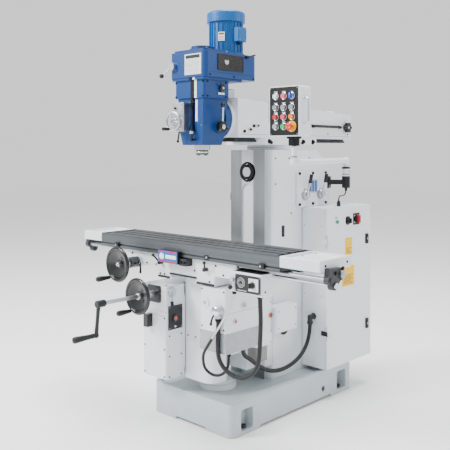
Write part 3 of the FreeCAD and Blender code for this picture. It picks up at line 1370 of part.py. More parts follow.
# ---- hoses ---------------------------------------------------------------------------
def bend_path(points):
    """Straight runs joined by tangent arcs, each as large as its runs allow."""
    pts = [V(*p) for p in points]
    edges = []
    radii = []
    start = pts[0]
    for a, b, c in zip(pts, pts[1:], pts[2:]):
        u = (a - b)
        v = (c - b)
        run = min(u.Length, v.Length)
        u.normalize()
        v.normalize()
        turn = math.pi - u.getAngle(v)
        cutback = 0.45 * run
        radii.append(cutback / math.tan(turn / 2))
        p = b + u * cutback
        q = b + v * cutback
        mid = (u + v)
        mid.normalize()
        r = radii[-1]
        m = b + mid * (r / math.cos(turn / 2) - r)
        edges.append(Part.LineSegment(start, p).toShape())
        edges.append(Part.Arc(p, m, q).toShape())
        start = q
    edges.append(Part.LineSegment(start, pts[-1]).toShape())
    return Part.Wire(edges), radii


def pipe(points, r):
    """Round bar along a route of runs and arcs, with its radii and length."""
    wire, radii = bend_path(points)
    first = wire.Edges[0]
    normal = first.tangentAt(first.FirstParameter)
    profile = Part.Wire(Part.makeCircle(r, V(*points[0]), normal))
    return wire.makePipeShell([profile], True, False), radii, wire.Length


def hose(name, points, r):
    """Round hose along a route, with a check of its radii and its volume."""
    tube, radii, length = pipe(points, r)
    want = math.pi * r * r * length
    print(name, "length", round(length), "radii", [round(x) for x in radii],
          "volume", round(tube.Volume / want, 4), tube.isValid())
    return tube


def half_turn(x0, x1, z, y0, y1):
    """Route points of a hanging half turn from x0 down and round to x1."""
    c = (x0 + x1) / 2
    r = (x0 - x1) / 2 / math.cos(math.radians(15))
    out = []
    for k in range(6):
        a = math.radians(15 + 30 * k)
        share = (k + 0.5) / 6
        out.append((c + r * math.cos(a), y0 + (y1 - y0) * share, z - abs(r) * math.sin(a)))
    return out


def feed_hose():
    """Hose from the table feed gearbox round to the fitting on the knee feed box."""
    x0, z0 = feed_x0() + 105, TABLE_Z0 - FEED_TOP_DROP - FEED_H - 26
    x1, y1 = KNEE_W / 2 + FB_W - 38, FB_FRONT - 16
    z1 = KNEE_TOP - 5 - 150
    route = [(x0, 5, z0), (x0, 5, z0 - 44), (x0 + 5, 4, z0 - 118), (x0 + 4, 2, z0 - 196),
             (x0 + 1, 1, z0 - 262)]
    route += half_turn(x0, x1, z0 - 312, 0, y1 - 6)
    route += [(x1 - 3, y1, z1 - 126), (x1 - 2, y1, z1 - 78), (x1, y1, z1 - 34), (x1, y1, z1)]
    return hose("feed_hose", route, HOSE_R)


def coolant_line():
    """Thin line from the feed gearbox, across the knee feed box and up under it."""
    x0, z0 = feed_x0() + 14, TABLE_Z0 - FEED_TOP_DROP - FEED_H
    y = FEED_FRONT + 14
    x1, z1 = KNEE_W / 2 + 170, KNEE_TOP - 5 - FB_H
    xl = x1 - 112
    route = [(x0, y, z0), (x0, y, z0 - 34), (x0 - 20, y - 6, z0 - 84), (x0 - 66, y - 10, z0 - 156),
             (x0 - 122, y - 11, z0 - 232), (x0 - 176, y - 9, z0 - 304), (xl + 1, y - 4, z0 - 362)]
    route += half_turn(xl, x1, z1 - 62, y, y + 74)
    route += [(x1, y + 76, z1 - 36), (x1, y + 76, z1)]
    return hose("coolant_line", route, LINE_R)


def cabinet_hose():
    """Hose that sags from the cabinet elbow to the underside of the knee feed box."""
    z0 = gland_z() - 30
    y0 = CAB_Y - 38
    x1, y1, z1 = KNEE_W / 2 + 93, FB_BACK - 30, KNEE_TOP - 5 - FB_H
    x = gland_x()
    route = [(x, y0, z0), (x, y0, z0 - 54), (x - 1, y0 - 34, z0 - 138), (x - 6, y0 - 112, z0 - 202),
             (x - 13, y0 - 230, z0 - 232), (x - 20, y0 - 345, z0 - 222), (228, y1 + 121, z1 - 150),
             (222, y1 + 59, z1 - 98), (219, y1 + 21, z1 - 78), (x1, y1, z1 - 41), (x1, y1, z1)]
    return hose("cabinet_hose", route, HOSE_R)


def pendant_cable():
    """Cable from the pendant socket into the gland on the cabinet top."""
    top = V(ARM_X, ARM_Y, ARM_Z - SOCKET_DROP - SOCKET_H / 2)
    end = V(top_gland_x(), CAB_Y + 210, CAB_Z1 + 22)
    across = V(end.x - top.x, end.y - top.y, 0)
    span = across.Length
    across.normalize()
    r = (top.z - end.z) / 2
    steps = [(0, 0), (0, 0.45), (0.25, 0.8), (0.7, 1)]
    route = [top + across * (r * s) - V(0, 0, r * d) for s, d in steps]
    route.append(top + across * (span / 2) - V(0, 0, r * 1.12))
    route += [end - across * (r * s) + V(0, 0, r * d) for s, d in reversed(steps)]
    return hose("pendant_cable", [tuple(p) for p in route], CABLE_R)


def main():
    os.makedirs("parts", exist_ok=True)
    save("base_casting", base_casting())
    save("column_casting", column_casting())
    save("column_slideway", column_slideway())
    save("knee_pedestal", knee_pedestal())
    save("gear_cover", gear_cover())
    save("gear_lever_front", gear_lever(COVER_MID - LEVER_GAP / 2))
    save("gear_lever_rear", gear_lever(COVER_MID + LEVER_GAP / 2))
    save("horizontal_spindle", horizontal_spindle())
    save("cabinet_shell", cabinet_shell())
    save("cabinet_door", cabinet_door())
    save("door_selector", door_selector())
    save("main_switch", main_switch())
    save("pendant_bracket", pendant_bracket())
    save("pendant_arm", pendant_arm())
    save("pendant_box", pendant_box())
    save("pendant_rotary", pendant_rotary())
    save("estop_button", estop_button())
    for name, x, z in button_places():
        save(name, push_button(x, z))
    save("knee_casting", knee_casting())
    save("knee_screw", knee_screw())
    save("knee_gearbox", knee_gearbox())
    save("feed_dial_lever", feed_dial_lever())
    save("cross_handwheel", cross_handwheel())
    save("knee_crank", knee_crank())
    save("knee_feed_box", knee_feed_box())
    save("saddle_casting", saddle_casting())
    save("lock_lever_left", lock_lever(lock_places()[0], 120))
    save("lock_lever_right", lock_lever(lock_places()[1], 60))
    save("feed_gearbox", feed_gearbox())
    save("feed_selector", feed_selector())
    save("feed_lever", feed_lever())
    save("table_handwheel", table_handwheel())
    save("table_top", table_top())
    save("table_end_covers", table_end_covers())
    save("end_bracket", end_bracket())
    save("table_leadscrew", table_leadscrew())
    save("feed_shaft", feed_shaft())
    save("turret_block", turret_block())
    save("ram_casting", ram_casting())
    save("ram_handwheel", ram_handwheel())
    save("head_housing", head_housing())
    save("depth_stop", depth_stop())
    save("quill", quill())
    save("spindle", spindle())
    save("belt_housing", belt_housing())
    save("speed_lever", speed_lever())
    save("head_motor", head_motor())
    save("fine_feed_wheel", fine_feed_wheel())
    save("quill_lever", quill_lever())
    save("feed_hose", feed_hose())
    save("coolant_line", coolant_line())
    save("cabinet_hose", cabinet_hose())
    save("pendant_cable", pendant_cable())


main()
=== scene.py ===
import bmesh
import bpy
import json
import math
import random
from mathutils import Matrix, Vector


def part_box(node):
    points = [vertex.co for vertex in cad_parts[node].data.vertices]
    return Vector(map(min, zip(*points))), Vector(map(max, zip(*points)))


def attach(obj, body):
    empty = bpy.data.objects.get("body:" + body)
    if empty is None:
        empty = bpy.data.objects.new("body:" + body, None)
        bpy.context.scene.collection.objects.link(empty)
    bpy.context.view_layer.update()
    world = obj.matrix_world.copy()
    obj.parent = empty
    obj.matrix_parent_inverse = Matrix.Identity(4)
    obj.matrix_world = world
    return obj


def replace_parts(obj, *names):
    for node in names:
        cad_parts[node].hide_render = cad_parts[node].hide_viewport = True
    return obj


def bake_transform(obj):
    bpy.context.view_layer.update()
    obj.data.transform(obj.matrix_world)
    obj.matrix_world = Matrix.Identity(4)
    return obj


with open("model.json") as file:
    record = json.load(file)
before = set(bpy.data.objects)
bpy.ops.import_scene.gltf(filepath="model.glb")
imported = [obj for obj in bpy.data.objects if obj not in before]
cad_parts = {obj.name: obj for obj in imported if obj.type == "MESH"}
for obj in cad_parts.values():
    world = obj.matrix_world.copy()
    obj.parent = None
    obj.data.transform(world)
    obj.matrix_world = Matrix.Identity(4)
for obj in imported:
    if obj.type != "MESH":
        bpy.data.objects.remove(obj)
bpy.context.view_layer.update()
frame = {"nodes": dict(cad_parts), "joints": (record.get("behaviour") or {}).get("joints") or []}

bl_info = {
    "name": "Milling machine dresser",
    "version": (1, 0, 0),
    "blender": (4, 5, 0),
    "location": "3D View > Sidebar > Mill",
    "description": "Finishes and fine parts of a ram type vertical milling machine",
    "category": "Object",
}


# ---- finishes ------------------------------------------------------------------------
class Wire:
    """A socket that takes part in sums. Each sum adds one Math node."""

    def __init__(self, shader, link):
        self.shader = shader
        self.link = link

    def math(self, operation, *terms):
        return self.shader.add("ShaderNodeMath", {"operation": operation}, dict(enumerate(terms)))

    def __add__(self, other):
        return self.math("ADD", self, other)

    def __radd__(self, other):
        return self.math("ADD", other, self)

    def __sub__(self, other):
        return self.math("SUBTRACT", self, other)

    def __rsub__(self, other):
        return self.math("SUBTRACT", other, self)

    def __mul__(self, other):
        return self.math("MULTIPLY", self, other)

    def __rmul__(self, other):
        return self.math("MULTIPLY", other, self)

    def __gt__(self, other):
        return self.math("GREATER_THAN", self, other)

    def __lt__(self, other):
        return self.math("LESS_THAN", self, other)

    def clamp(self):
        return self.shader.add("ShaderNodeMath", {"operation": "ADD", "use_clamp": True}, {0: self, 1: 0.0})


class Shader:
    """Node tree of one finish."""

    def __init__(self, name):
        self.material = bpy.data.materials.new(name)
        self.material.use_nodes = True
        self.tree = self.material.node_tree
        self.tree.nodes.clear()
        self.place = self.add("ShaderNodeTexCoord", {}, {}, "Object")
        split = self.add("ShaderNodeSeparateXYZ", {}, {0: self.place})
        self.xyz = [Wire(self, split.link.node.outputs[k]) for k in range(3)]

    def add(self, kind, settings, values, out=0):
        """One node: its settings first, then the values or links of its sockets."""
        node = self.tree.nodes.new(kind)
        for key, value in settings.items():
            setattr(node, key, value)
        for key, value in values.items():
            if isinstance(value, Wire):
                self.tree.links.new(value.link, node.inputs[key])
            elif value is not None:
                node.inputs[key].default_value = value
        return Wire(self, node.outputs[out])

    def mix(self, share, first, second):
        """Colour between two colours."""
        ends = [c if isinstance(c, Wire) else (*c, 1.0) for c in (first, second)]
        return self.add("ShaderNodeMix", {"data_type": "RGBA"}, {0: share, 6: ends[0], 7: ends[1]}, 2)

    def stretched(self, sx, sy, sz):
        """Place on the piece, stretched along its axes."""
        return self.add("ShaderNodeVectorMath", {"operation": "MULTIPLY"},
                        {0: self.place, 1: (sx, sy, sz)})

    def noise(self, scale, detail=3.0, place=None, rough=0.55):
        """Cloudy value between 0 and 1."""
        return self.add("ShaderNodeTexNoise", {}, {"Vector": place or self.place, "Scale": scale,
                                                   "Detail": detail, "Roughness": rough})

    def grit(self, scale):
        """Cells of uneven size, for leather like or cast grain."""
        return self.add("ShaderNodeTexVoronoi", {"feature": "F1"}, {"Vector": self.place, "Scale": scale})

    def close(self, tone, rough, metal, height, depth, edge, coat=0.0):
        """Surface from its colour, gloss and relief, with its edges eased."""
        normal = None
        if edge:
            normal = self.add("ShaderNodeBevel", {"samples": 4}, {"Radius": edge})
        if height is not None:
            normal = self.add("ShaderNodeBump", {}, {"Strength": 1.0, "Distance": depth,
                                                     "Height": height, "Normal": normal})
        base = tone if isinstance(tone, Wire) else (*tone, 1.0)
        values = {"Base Color": base, "Roughness": rough, "Metallic": metal, "Normal": normal,
                  "Coat Weight": coat, "Coat Roughness": 0.12, "Specular IOR Level": 0.35}
        surface = self.add("ShaderNodeBsdfPrincipled", {}, values)
        self.end(surface)
        return self.material

    def end(self, surface):
        node = self.tree.nodes.new("ShaderNodeOutputMaterial")
        self.tree.links.new(surface.link, node.inputs[0])


def linear(code):
    """Linear colour from six hex digits."""
    out = []
    for k in (0, 2, 4):
        c = int(code[k:k + 2], 16) / 255
        out.append(c / 12.92 if c <= 0.04045 else ((c + 0.055) / 1.055) ** 2.4)
    return tuple(out)


def shade(tone, share):
    """Darker or lighter colour."""
    return tuple(min(1.0, c * share) for c in tone)


def enamel(tone, gloss=0.34, orange=1.0):
    """Sprayed machine enamel on a filled casting: soft clouds, fine orange peel."""
    def make(s):
        cloud = s.noise(5.0, 4.0)
        speck = s.noise(60.0, 2.0)
        low = s.mix(cloud, shade(tone, 0.93), shade(tone, 1.02))
        colour = s.mix((speck > 0.70) * 0.12, low, shade(tone, 0.72))
        rough = gloss - 0.05 + 0.12 * cloud
        height = s.noise(420.0 * orange, 1.0) * 0.25 + s.noise(26.0, 2.0) * 0.75
        return colour, rough, 0.0, height
    return make


def sheet_paint(tone, gloss=0.36):
    """Powder coat on folded sheet."""
    def make(s):
        cloud = s.noise(3.0, 3.0)
        colour = s.mix(cloud, shade(tone, 0.95), shade(tone, 1.02))
        rough = gloss + 0.08 * cloud
        return colour, rough, 0.0, s.grit(700.0) * 0.35
    return make


def ground(tone, along, gloss=0.30):
    """Ground or scraped machine way, with fine lines one way and a film of oil."""
    def make(s):
        lines = s.noise(1.0, 3.0, s.stretched(*along), 0.7)
        film = s.noise(7.0, 4.0)
        colour = s.mix(lines, shade(tone, 0.72), shade(tone, 1.18))
        colour = s.mix((film - 0.45).clamp() * 1.2, colour, shade(tone, 0.55))
        rough = gloss - 0.08 + 0.18 * lines + 0.14 * film
        return colour, rough, 0.85, lines * 0.5
    return make


def turned(tone, gloss=0.24, metal=1.0):
    """Machined or plated steel with faint tool marks."""
    def make(s):
        marks = s.noise(240.0, 2.0)
        cloud = s.noise(14.0, 3.0)
        colour = s.mix(cloud, shade(tone, 0.86), shade(tone, 1.05))
        return colour, gloss - 0.05 + 0.10 * marks + 0.06 * cloud, metal, marks * 0.3
    return make


def moulded(tone, gloss=0.30, grain=500.0):
    """Moulded resin or rubber with a fine grain."""
    def make(s):
        cloud = s.noise(18.0, 3.0)
        colour = s.mix(cloud, shade(tone, 0.82), shade(tone, 1.12))
        return colour, gloss - 0.04 + 0.10 * cloud, 0.0, s.grit(grain) * 0.4
    return make


def cast(tone, gloss=0.55):
    """Bare or dark painted casting with a sandy skin."""
    def make(s):
        cloud = s.noise(22.0, 5.0)
        colour = s.mix(cloud, shade(tone, 0.75), shade(tone, 1.2))
        return colour, gloss - 0.06 + 0.15 * cloud, 0.25, s.noise(190.0, 4.0)
    return make


def within(x0=None, y0=None, z0=None, x1=None, y1=None, z1=None):
    """Part of a piece between two corners. A side that isn't given stays open."""
    def region(s):
        mask = 1.0
        for value, a, b in zip(s.xyz, (x0, y0, z0), (x1, y1, z1)):
            if a is not None:
                mask = (value > a) * mask
            if b is not None:
                mask = (value < b) * mask
        return mask
    return region


def about(axis, a, b, radius, low=None, high=None):
    """Part of a piece inside a round bar along an axis."""
    def region(s):
        i, j = [k for k in range(3) if k != axis]
        u, v = s.xyz[i] - a, s.xyz[j] - b
        mask = (u * u + v * v) < radius * radius
        if low is not None:
            mask = mask * (s.xyz[axis] > low)
        if high is not None:
            mask = mask * (s.xyz[axis] < high)
        return mask
    return region


def finish(name, base, patches=(), depth=0.0003, edge=0.0, coat=0.0, soil=None):
    """Material from one finish, with other finishes on parts of the piece."""
    s = Shader(name)
    tone, rough, metal, height = base(s)
    for region, other in patches:
        mask = region(s)
        t, r, m, h = other(s)
        tone = s.mix(mask, tone, t)
        rough = mask * (r - rough) + rough
        metal = mask * (m - metal) + metal
        height = mask * (h - height) + height
    if soil is not None:
        top, strength = soil
        worn = ((top - s.xyz[2]) * (1.0 / top)).clamp()
        cloud = (s.noise(9.0, 5.0) - 0.35).clamp() * 1.6
        tone = s.mix(worn * cloud * strength, tone, linear("6d6f6c"))
    return s.close(tone, rough, metal, height, depth, edge, coat)


def plain(name, base, depth=0.0003, coat=0.0):
    """Material of one finish for the fine parts."""
    return finish(name, base, (), depth, 0.0, coat)


# ---- building meshes -----------------------------------------------------------------
def lined_up(direction):
    """Turn that brings Z onto a direction."""
    return Vector((0, 0, 1)).rotation_difference(Vector(direction)).to_matrix().to_4x4()


class Piece:
    """Mesh of one piece, put together from rounded blocks, turned forms and bent bars."""

    def __init__(self, name):
        self.name = name
        self.mesh = bmesh.new()
        self.materials = []

    def take(self, part, material):
        """Adds one closed form in its material."""
        if material not in self.materials:
            self.materials.append(material)
        bmesh.ops.recalc_face_normals(part, faces=part.faces)
        for face in part.faces:
            face.material_index = self.materials.index(material)
        held = bpy.data.meshes.new("held")
        part.to_mesh(held)
        part.free()
        self.mesh.from_mesh(held)
        bpy.data.meshes.remove(held)
        return self

    def block(self, low, high, material, ease=0.001, steps=2, turn=None):
        """Block between two corners with eased edges."""
        part = bmesh.new()
        bmesh.ops.create_cube(part, size=1.0)
        low, high = Vector(low), Vector(high)
        size = high - low
        for v in part.verts:
            v.co = low + Vector((v.co.x + 0.5, v.co.y + 0.5, v.co.z + 0.5)) * size
        if ease:
            ease = min(ease, 0.45 * min(size))
            bmesh.ops.bevel(part, geom=part.edges[:], offset=ease, segments=steps, profile=0.5, affect="EDGES")
        if turn is not None:
            centre, axis, angle = turn
            bmesh.ops.rotate(part, cent=centre, matrix=Matrix.Rotation(angle, 3, axis), verts=part.verts)
        return self.take(part, material)

    def slab(self, low, high, axis, corner, material, ease=0.001, steps=5):
        """Plate with round corners about one axis and eased faces."""
        i, j = [k for k in range(3) if k != axis]
        low, high = Vector(low), Vector(high)
        corner = min(corner, 0.49 * (high[i] - low[i]), 0.49 * (high[j] - low[j]))
        part = bmesh.new()
        rings = []
        levels = [(low[axis], ease), (low[axis] + ease, 0.0), (high[axis] - ease, 0.0), (high[axis], ease)]
        for level, inset in levels:
            ring = []
            r = max(corner - inset, 0.0002)
            for quarter, (a, b) in enumerate(((1, 1), (0, 1), (0, 0), (1, 0))):
                ci = high[i] - corner if a else low[i] + corner
                cj = high[j] - corner if b else low[j] + corner
                for k in range(steps + 1):
                    angle = math.pi / 2 * (quarter + k / steps)
                    co = [0.0, 0.0, 0.0]
                    co[axis] = level
                    co[i] = ci + r * math.cos(angle)
                    co[j] = cj + r * math.sin(angle)
                    ring.append(part.verts.new(co))
            rings.append(ring)
        for a, b in zip(rings, rings[1:]):
            for k in range(len(a)):
                part.faces.new((a[k], a[k - 1], b[k - 1], b[k]))
        part.faces.new(rings[0])
        part.faces.new(rings[-1])
        return self.take(part, material)

    def turned(self, outline, centre, axis, material, steps=40):
        """Turned form: pairs of radius and distance along the axis."""
        part = bmesh.new()
        turn = Matrix.Translation(Vector(centre)) @ lined_up(axis)
        rings = []
        for radius, along in outline:
            if radius < 1e-5:
                rings.append([part.verts.new(turn @ Vector((0, 0, along)))])
                continue
            ring = []
            for k in range(steps):
                a = 2 * math.pi * k / steps
                ring.append(part.verts.new(turn @ Vector((radius * math.cos(a), radius * math.sin(a), along))))
            rings.append(ring)
        for a, b in zip(rings, rings[1:]):
            for k in range(steps):
                loop = [a[k % len(a)], a[(k - 1) % len(a)], b[(k - 1) % len(b)], b[k % len(b)]]
                face = []
                for v in loop:
                    if v not in face:
                        face.append(v)
                if len(face) > 2:
                    part.faces.new(face)
        for ring in (rings[0], rings[-1]):
            if len(ring) > 1:
                part.faces.new(ring)
        return self.take(part, material)

    def rod(self, start, stop, radius, material, ease=0.0008, steps=28):
        """Round bar with eased ends."""
        start, stop = Vector(start), Vector(stop)
        length = (stop - start).length
        ease = min(ease, radius * 0.4, length * 0.3)
        outline = [(0, 0), (radius - ease, 0), (radius, ease), (radius, length - ease),
                   (radius - ease, length), (0, length)]
        return self.turned(outline, start, stop - start, material, steps)

    def ball(self, centre, radius, material, flat=1.0, axis=(0, 0, 1)):
        """Ball or flattened ball."""
        outline = []
        for k in range(15):
            a = math.pi * k / 14
            outline.append((radius * math.sin(a) if 0 < k < 14 else 0.0, -radius * flat * math.cos(a)))
        return self.turned(outline, centre, axis, material, 28)

    def torus(self, centre, axis, radius, tube, material, steps=64, sides=14, oval=1.0):
        """Ring of round or oval section."""
        outline = []
        for k in range(sides + 1):
            a = 2 * math.pi * k / sides
            outline.append((radius + tube * math.cos(a), tube * oval * math.sin(a)))
        part = bmesh.new()
        turn = Matrix.Translation(Vector(centre)) @ lined_up(axis)
        rings = []
        for r, h in outline[:-1]:
            rings.append([part.verts.new(turn @ Vector((r * math.cos(2 * math.pi * k / steps),
                                                        r * math.sin(2 * math.pi * k / steps), h)))
                          for k in range(steps)])
        for a, b in zip(rings, rings[1:] + rings[:1]):
            for k in range(steps):
                part.faces.new((a[k], a[k - 1], b[k - 1], b[k]))
        return self.take(part, material)

    def bent(self, points, radii, material, sides=14):
        """Bar that follows a line of points, with a radius at each or for all."""
        points = [Vector(p) for p in points]
        if not hasattr(radii, "__len__"):
            radii = [radii] * len(points)
        part = bmesh.new()
        along = (points[1] - points[0]).normalized()
        side = along.orthogonal().normalized()
        rings = []
        for k, (p, r) in enumerate(zip(points, radii)):
            before = points[max(k - 1, 0)]
            after = points[min(k + 1, len(points) - 1)]
            way = (after - before).normalized()
            side = (along.rotation_difference(way) @ side).normalized()
            along = way
            up = along.cross(side)
            rings.append([part.verts.new(p + side * (r * math.cos(2 * math.pi * n / sides))
                                         + up * (r * math.sin(2 * math.pi * n / sides)))
                          for n in range(sides)])
        for a, b in zip(rings, rings[1:]):
            for n in range(sides):
                part.faces.new((a[n], a[n - 1], b[n - 1], b[n]))
        part.faces.new(rings[0])
        part.faces.new(rings[-1])
        return self.take(part, material)

    def screw(self, centre, axis, radius, material, dark, proud=0.004):
        """Socket head screw with a hexagon socket, whose bottom is a dark disc of painted shade."""
        r, h = radius, proud
        outline = [(0, -0.001), (r, -0.001), (r, h * 0.8), (r * 0.92, h), (r * 0.56, h)]
        self.turned(outline + [(r * 0.5, h * 0.35), (0, h * 0.35)], centre, axis, material, 24)
        # the dark disc at the bottom of the socket is painted shade
        self.turned([(0, h * 0.34), (r * 0.5, h * 0.34), (r * 0.5, h * 0.42), (0, h * 0.42)], centre, axis,
                    dark, 6)
        return self

    def screws(self, spots, *rest):
        """The same screw at each of some places."""
        for spot in spots:
            self.screw(spot, *rest)

    def stud(self, radius, height, crown, centre, axis, material, steps=40):
        """Round or hexagonal stud from its foot to its height, with the middle of its end at crown."""
        return self.turned([(0, 0), (radius, 0), (radius, height), (0, crown)], centre, axis, material, steps)

    def done(self, body, crease=38.0):
        """Object that rides on its body."""
        data = bpy.data.meshes.new(self.name)
        self.mesh.normal_update()
        for face in self.mesh.faces:
            face.smooth = True
        for e in self.mesh.edges:
            if len(e.link_faces) == 2 and e.calc_face_angle(0.0) > math.radians(crease):
                e.smooth = False
        self.mesh.to_mesh(data)
        self.mesh.free()
        for material in self.materials:
            data.materials.append(material)
        obj = bpy.data.objects.new(self.name, data)
        bpy.context.scene.collection.objects.link(obj)
        if body:
            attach(obj, body)
        return obj


def joint_place(name):
    """Point on the axis of a joint."""
    for joint in frame["joints"]:
        if joint["name"] == name:
            return Vector(joint["pos_m"])
    raise RuntimeError("no joint " + name)


def grid(*sides):
    """Places on a grid: each side is one value or a row of values."""
    xs, ys, zs = [side if isinstance(side, tuple) else (side,) for side in sides]
    return [(x, y, z) for x in xs for y in ys for z in zs]


def arc(centre, radius, start, stop, steps, u, v):
    """Points on part of a circle in the plane of two directions."""
    centre, u, v = Vector(centre), Vector(u), Vector(v)
    return [centre + u * (radius * math.cos(start + (stop - start) * k / steps))
            + v * (radius * math.sin(start + (stop - start) * k / steps)) for k in range(steps + 1)]


# ---- settings ------------------------------------------------------------------------
class MillColours(bpy.types.PropertyGroup):
    """Colours of the machine."""
    enamel: bpy.props.FloatVectorProperty(
        name="Enamel", description="Off white machine enamel", subtype="COLOR", size=3,
        min=0.0, max=1.0, default=linear("e3e9ec"))
    base: bpy.props.FloatVectorProperty(
        name="Base enamel", description="Pale grey enamel of the base", subtype="COLOR", size=3,
        min=0.0, max=1.0, default=linear("b6c0c5"))
    head: bpy.props.FloatVectorProperty(
        name="Head enamel", description="Blue enamel of the head", subtype="COLOR", size=3,
        min=0.0, max=1.0, default=linear("003a78"))
    motor: bpy.props.FloatVectorProperty(
        name="Motor enamel", description="Lighter blue of the motor", subtype="COLOR", size=3,
        min=0.0, max=1.0, default=linear("065a9c"))
    label: bpy.props.FloatVectorProperty(
        name="Label", description="Yellow of the blank plates on the door", subtype="COLOR", size=3,
        min=0.0, max=1.0, default=linear("f7c315"))


class MillSizes(bpy.types.PropertyGroup):
    """Sizes of the fine parts."""
    rib_pitch: bpy.props.FloatProperty(
        name="Hose rib pitch", description="Distance between the ribs of a hose",
        default=0.0062, min=0.002, max=0.02, unit="LENGTH", subtype="DISTANCE")
    screw_radius: bpy.props.FloatProperty(
        name="Screw radius", description="Radius of the small socket screws",
        default=0.0058, min=0.002, max=0.02, unit="LENGTH", subtype="DISTANCE")
    floor: bpy.props.FloatProperty(
        name="Floor", description="Width of the studio floor",
        default=40.0, min=5.0, max=200.0, unit="LENGTH", subtype="DISTANCE")


def mat(name):
    """A finish that the finishes operator has made."""
    found = bpy.data.materials.get(name)
    if found is None:
        raise RuntimeError("run the finishes first: " + name)
    return found


class MILL_OT_finishes(bpy.types.Operator):
    """Make the plain finishes that the fine parts share"""
    bl_idname = "mill.finishes"
    bl_label = "Finishes"

    def execute(self, context):
        c = context.scene.mill_colours
        plain("enamel", enamel(tuple(c.enamel)), 0.0002, 0.25)
        plain("blue_enamel", enamel(tuple(c.head), 0.34), 0.0002, 0.12)
        plain("motor_enamel", enamel(tuple(c.motor), 0.34), 0.0002, 0.12)
        plain("screw_black", turned(linear("1b1c1e"), 0.36, 0.7))
        plain("screw_steel", turned(linear("b9bcbf"), 0.24))
        # near black used as painted shade at the bottoms of screw sockets, in holes, slots, louvre gaps and
        # grip grooves, and for dark seam lines
        plain("recess_shade_and_seam", moulded(linear("0a0a0b"), 0.6))
        plain("chrome", turned(linear("dfe2e4"), 0.10))
        plain("satin", turned(linear("c6c9cc"), 0.33))
        plain("black_gloss", moulded(linear("131416"), 0.20, 900.0), 0.0001, 0.3)
        plain("black_grip", moulded(linear("1a1b1d"), 0.42), 0.0002)
        plain("black_iron", cast(linear("202225"), 0.38), 0.0002, 0.15)
        plain("hose_black", moulded(linear("1b1c1e"), 0.36, 900.0), 0.0001)
        plain("white_plate", sheet_paint(linear("eef0f0"), 0.40), 0.00005)
        plain("grey_plate", turned(linear("a9aeb2"), 0.42, 0.35), 0.00005)
        plain("black_plate", moulded(linear("0f1012"), 0.34, 1200.0), 0.00005)
        plain("ink", moulded(linear("17191c"), 0.5), 0.00005)
        plain("ink_red", moulded(linear("b3262b"), 0.45), 0.00005)
        plain("ink_blue", moulded(linear("2c5fa8"), 0.45), 0.00005)
        plain("label_yellow", sheet_paint(tuple(c.label), 0.42), 0.00005)
        plain("rubber", moulded(linear("232426"), 0.62), 0.0002)
        plain("estop_yellow", moulded(linear("f2b01c"), 0.30), 0.00005)
        plain("bronze", turned(linear("a5763c"), 0.32))
        plain("sight_glass", moulded(linear("a8481f"), 0.10, 900.0), 0.00005, 0.6)
        plain("galvanised", cast(linear("a3a8ab"), 0.42), 0.0001)
        return {"FINISHED"}


def dress(node, *look):
    """Gives a carried over piece a finish of its own, from its name, base, patches and relief."""
    material = finish(*look)
    data = frame["nodes"][node].data
    if not data.materials:
        data.materials.append(material)
    for k in range(len(data.materials)):
        data.materials[k] = material


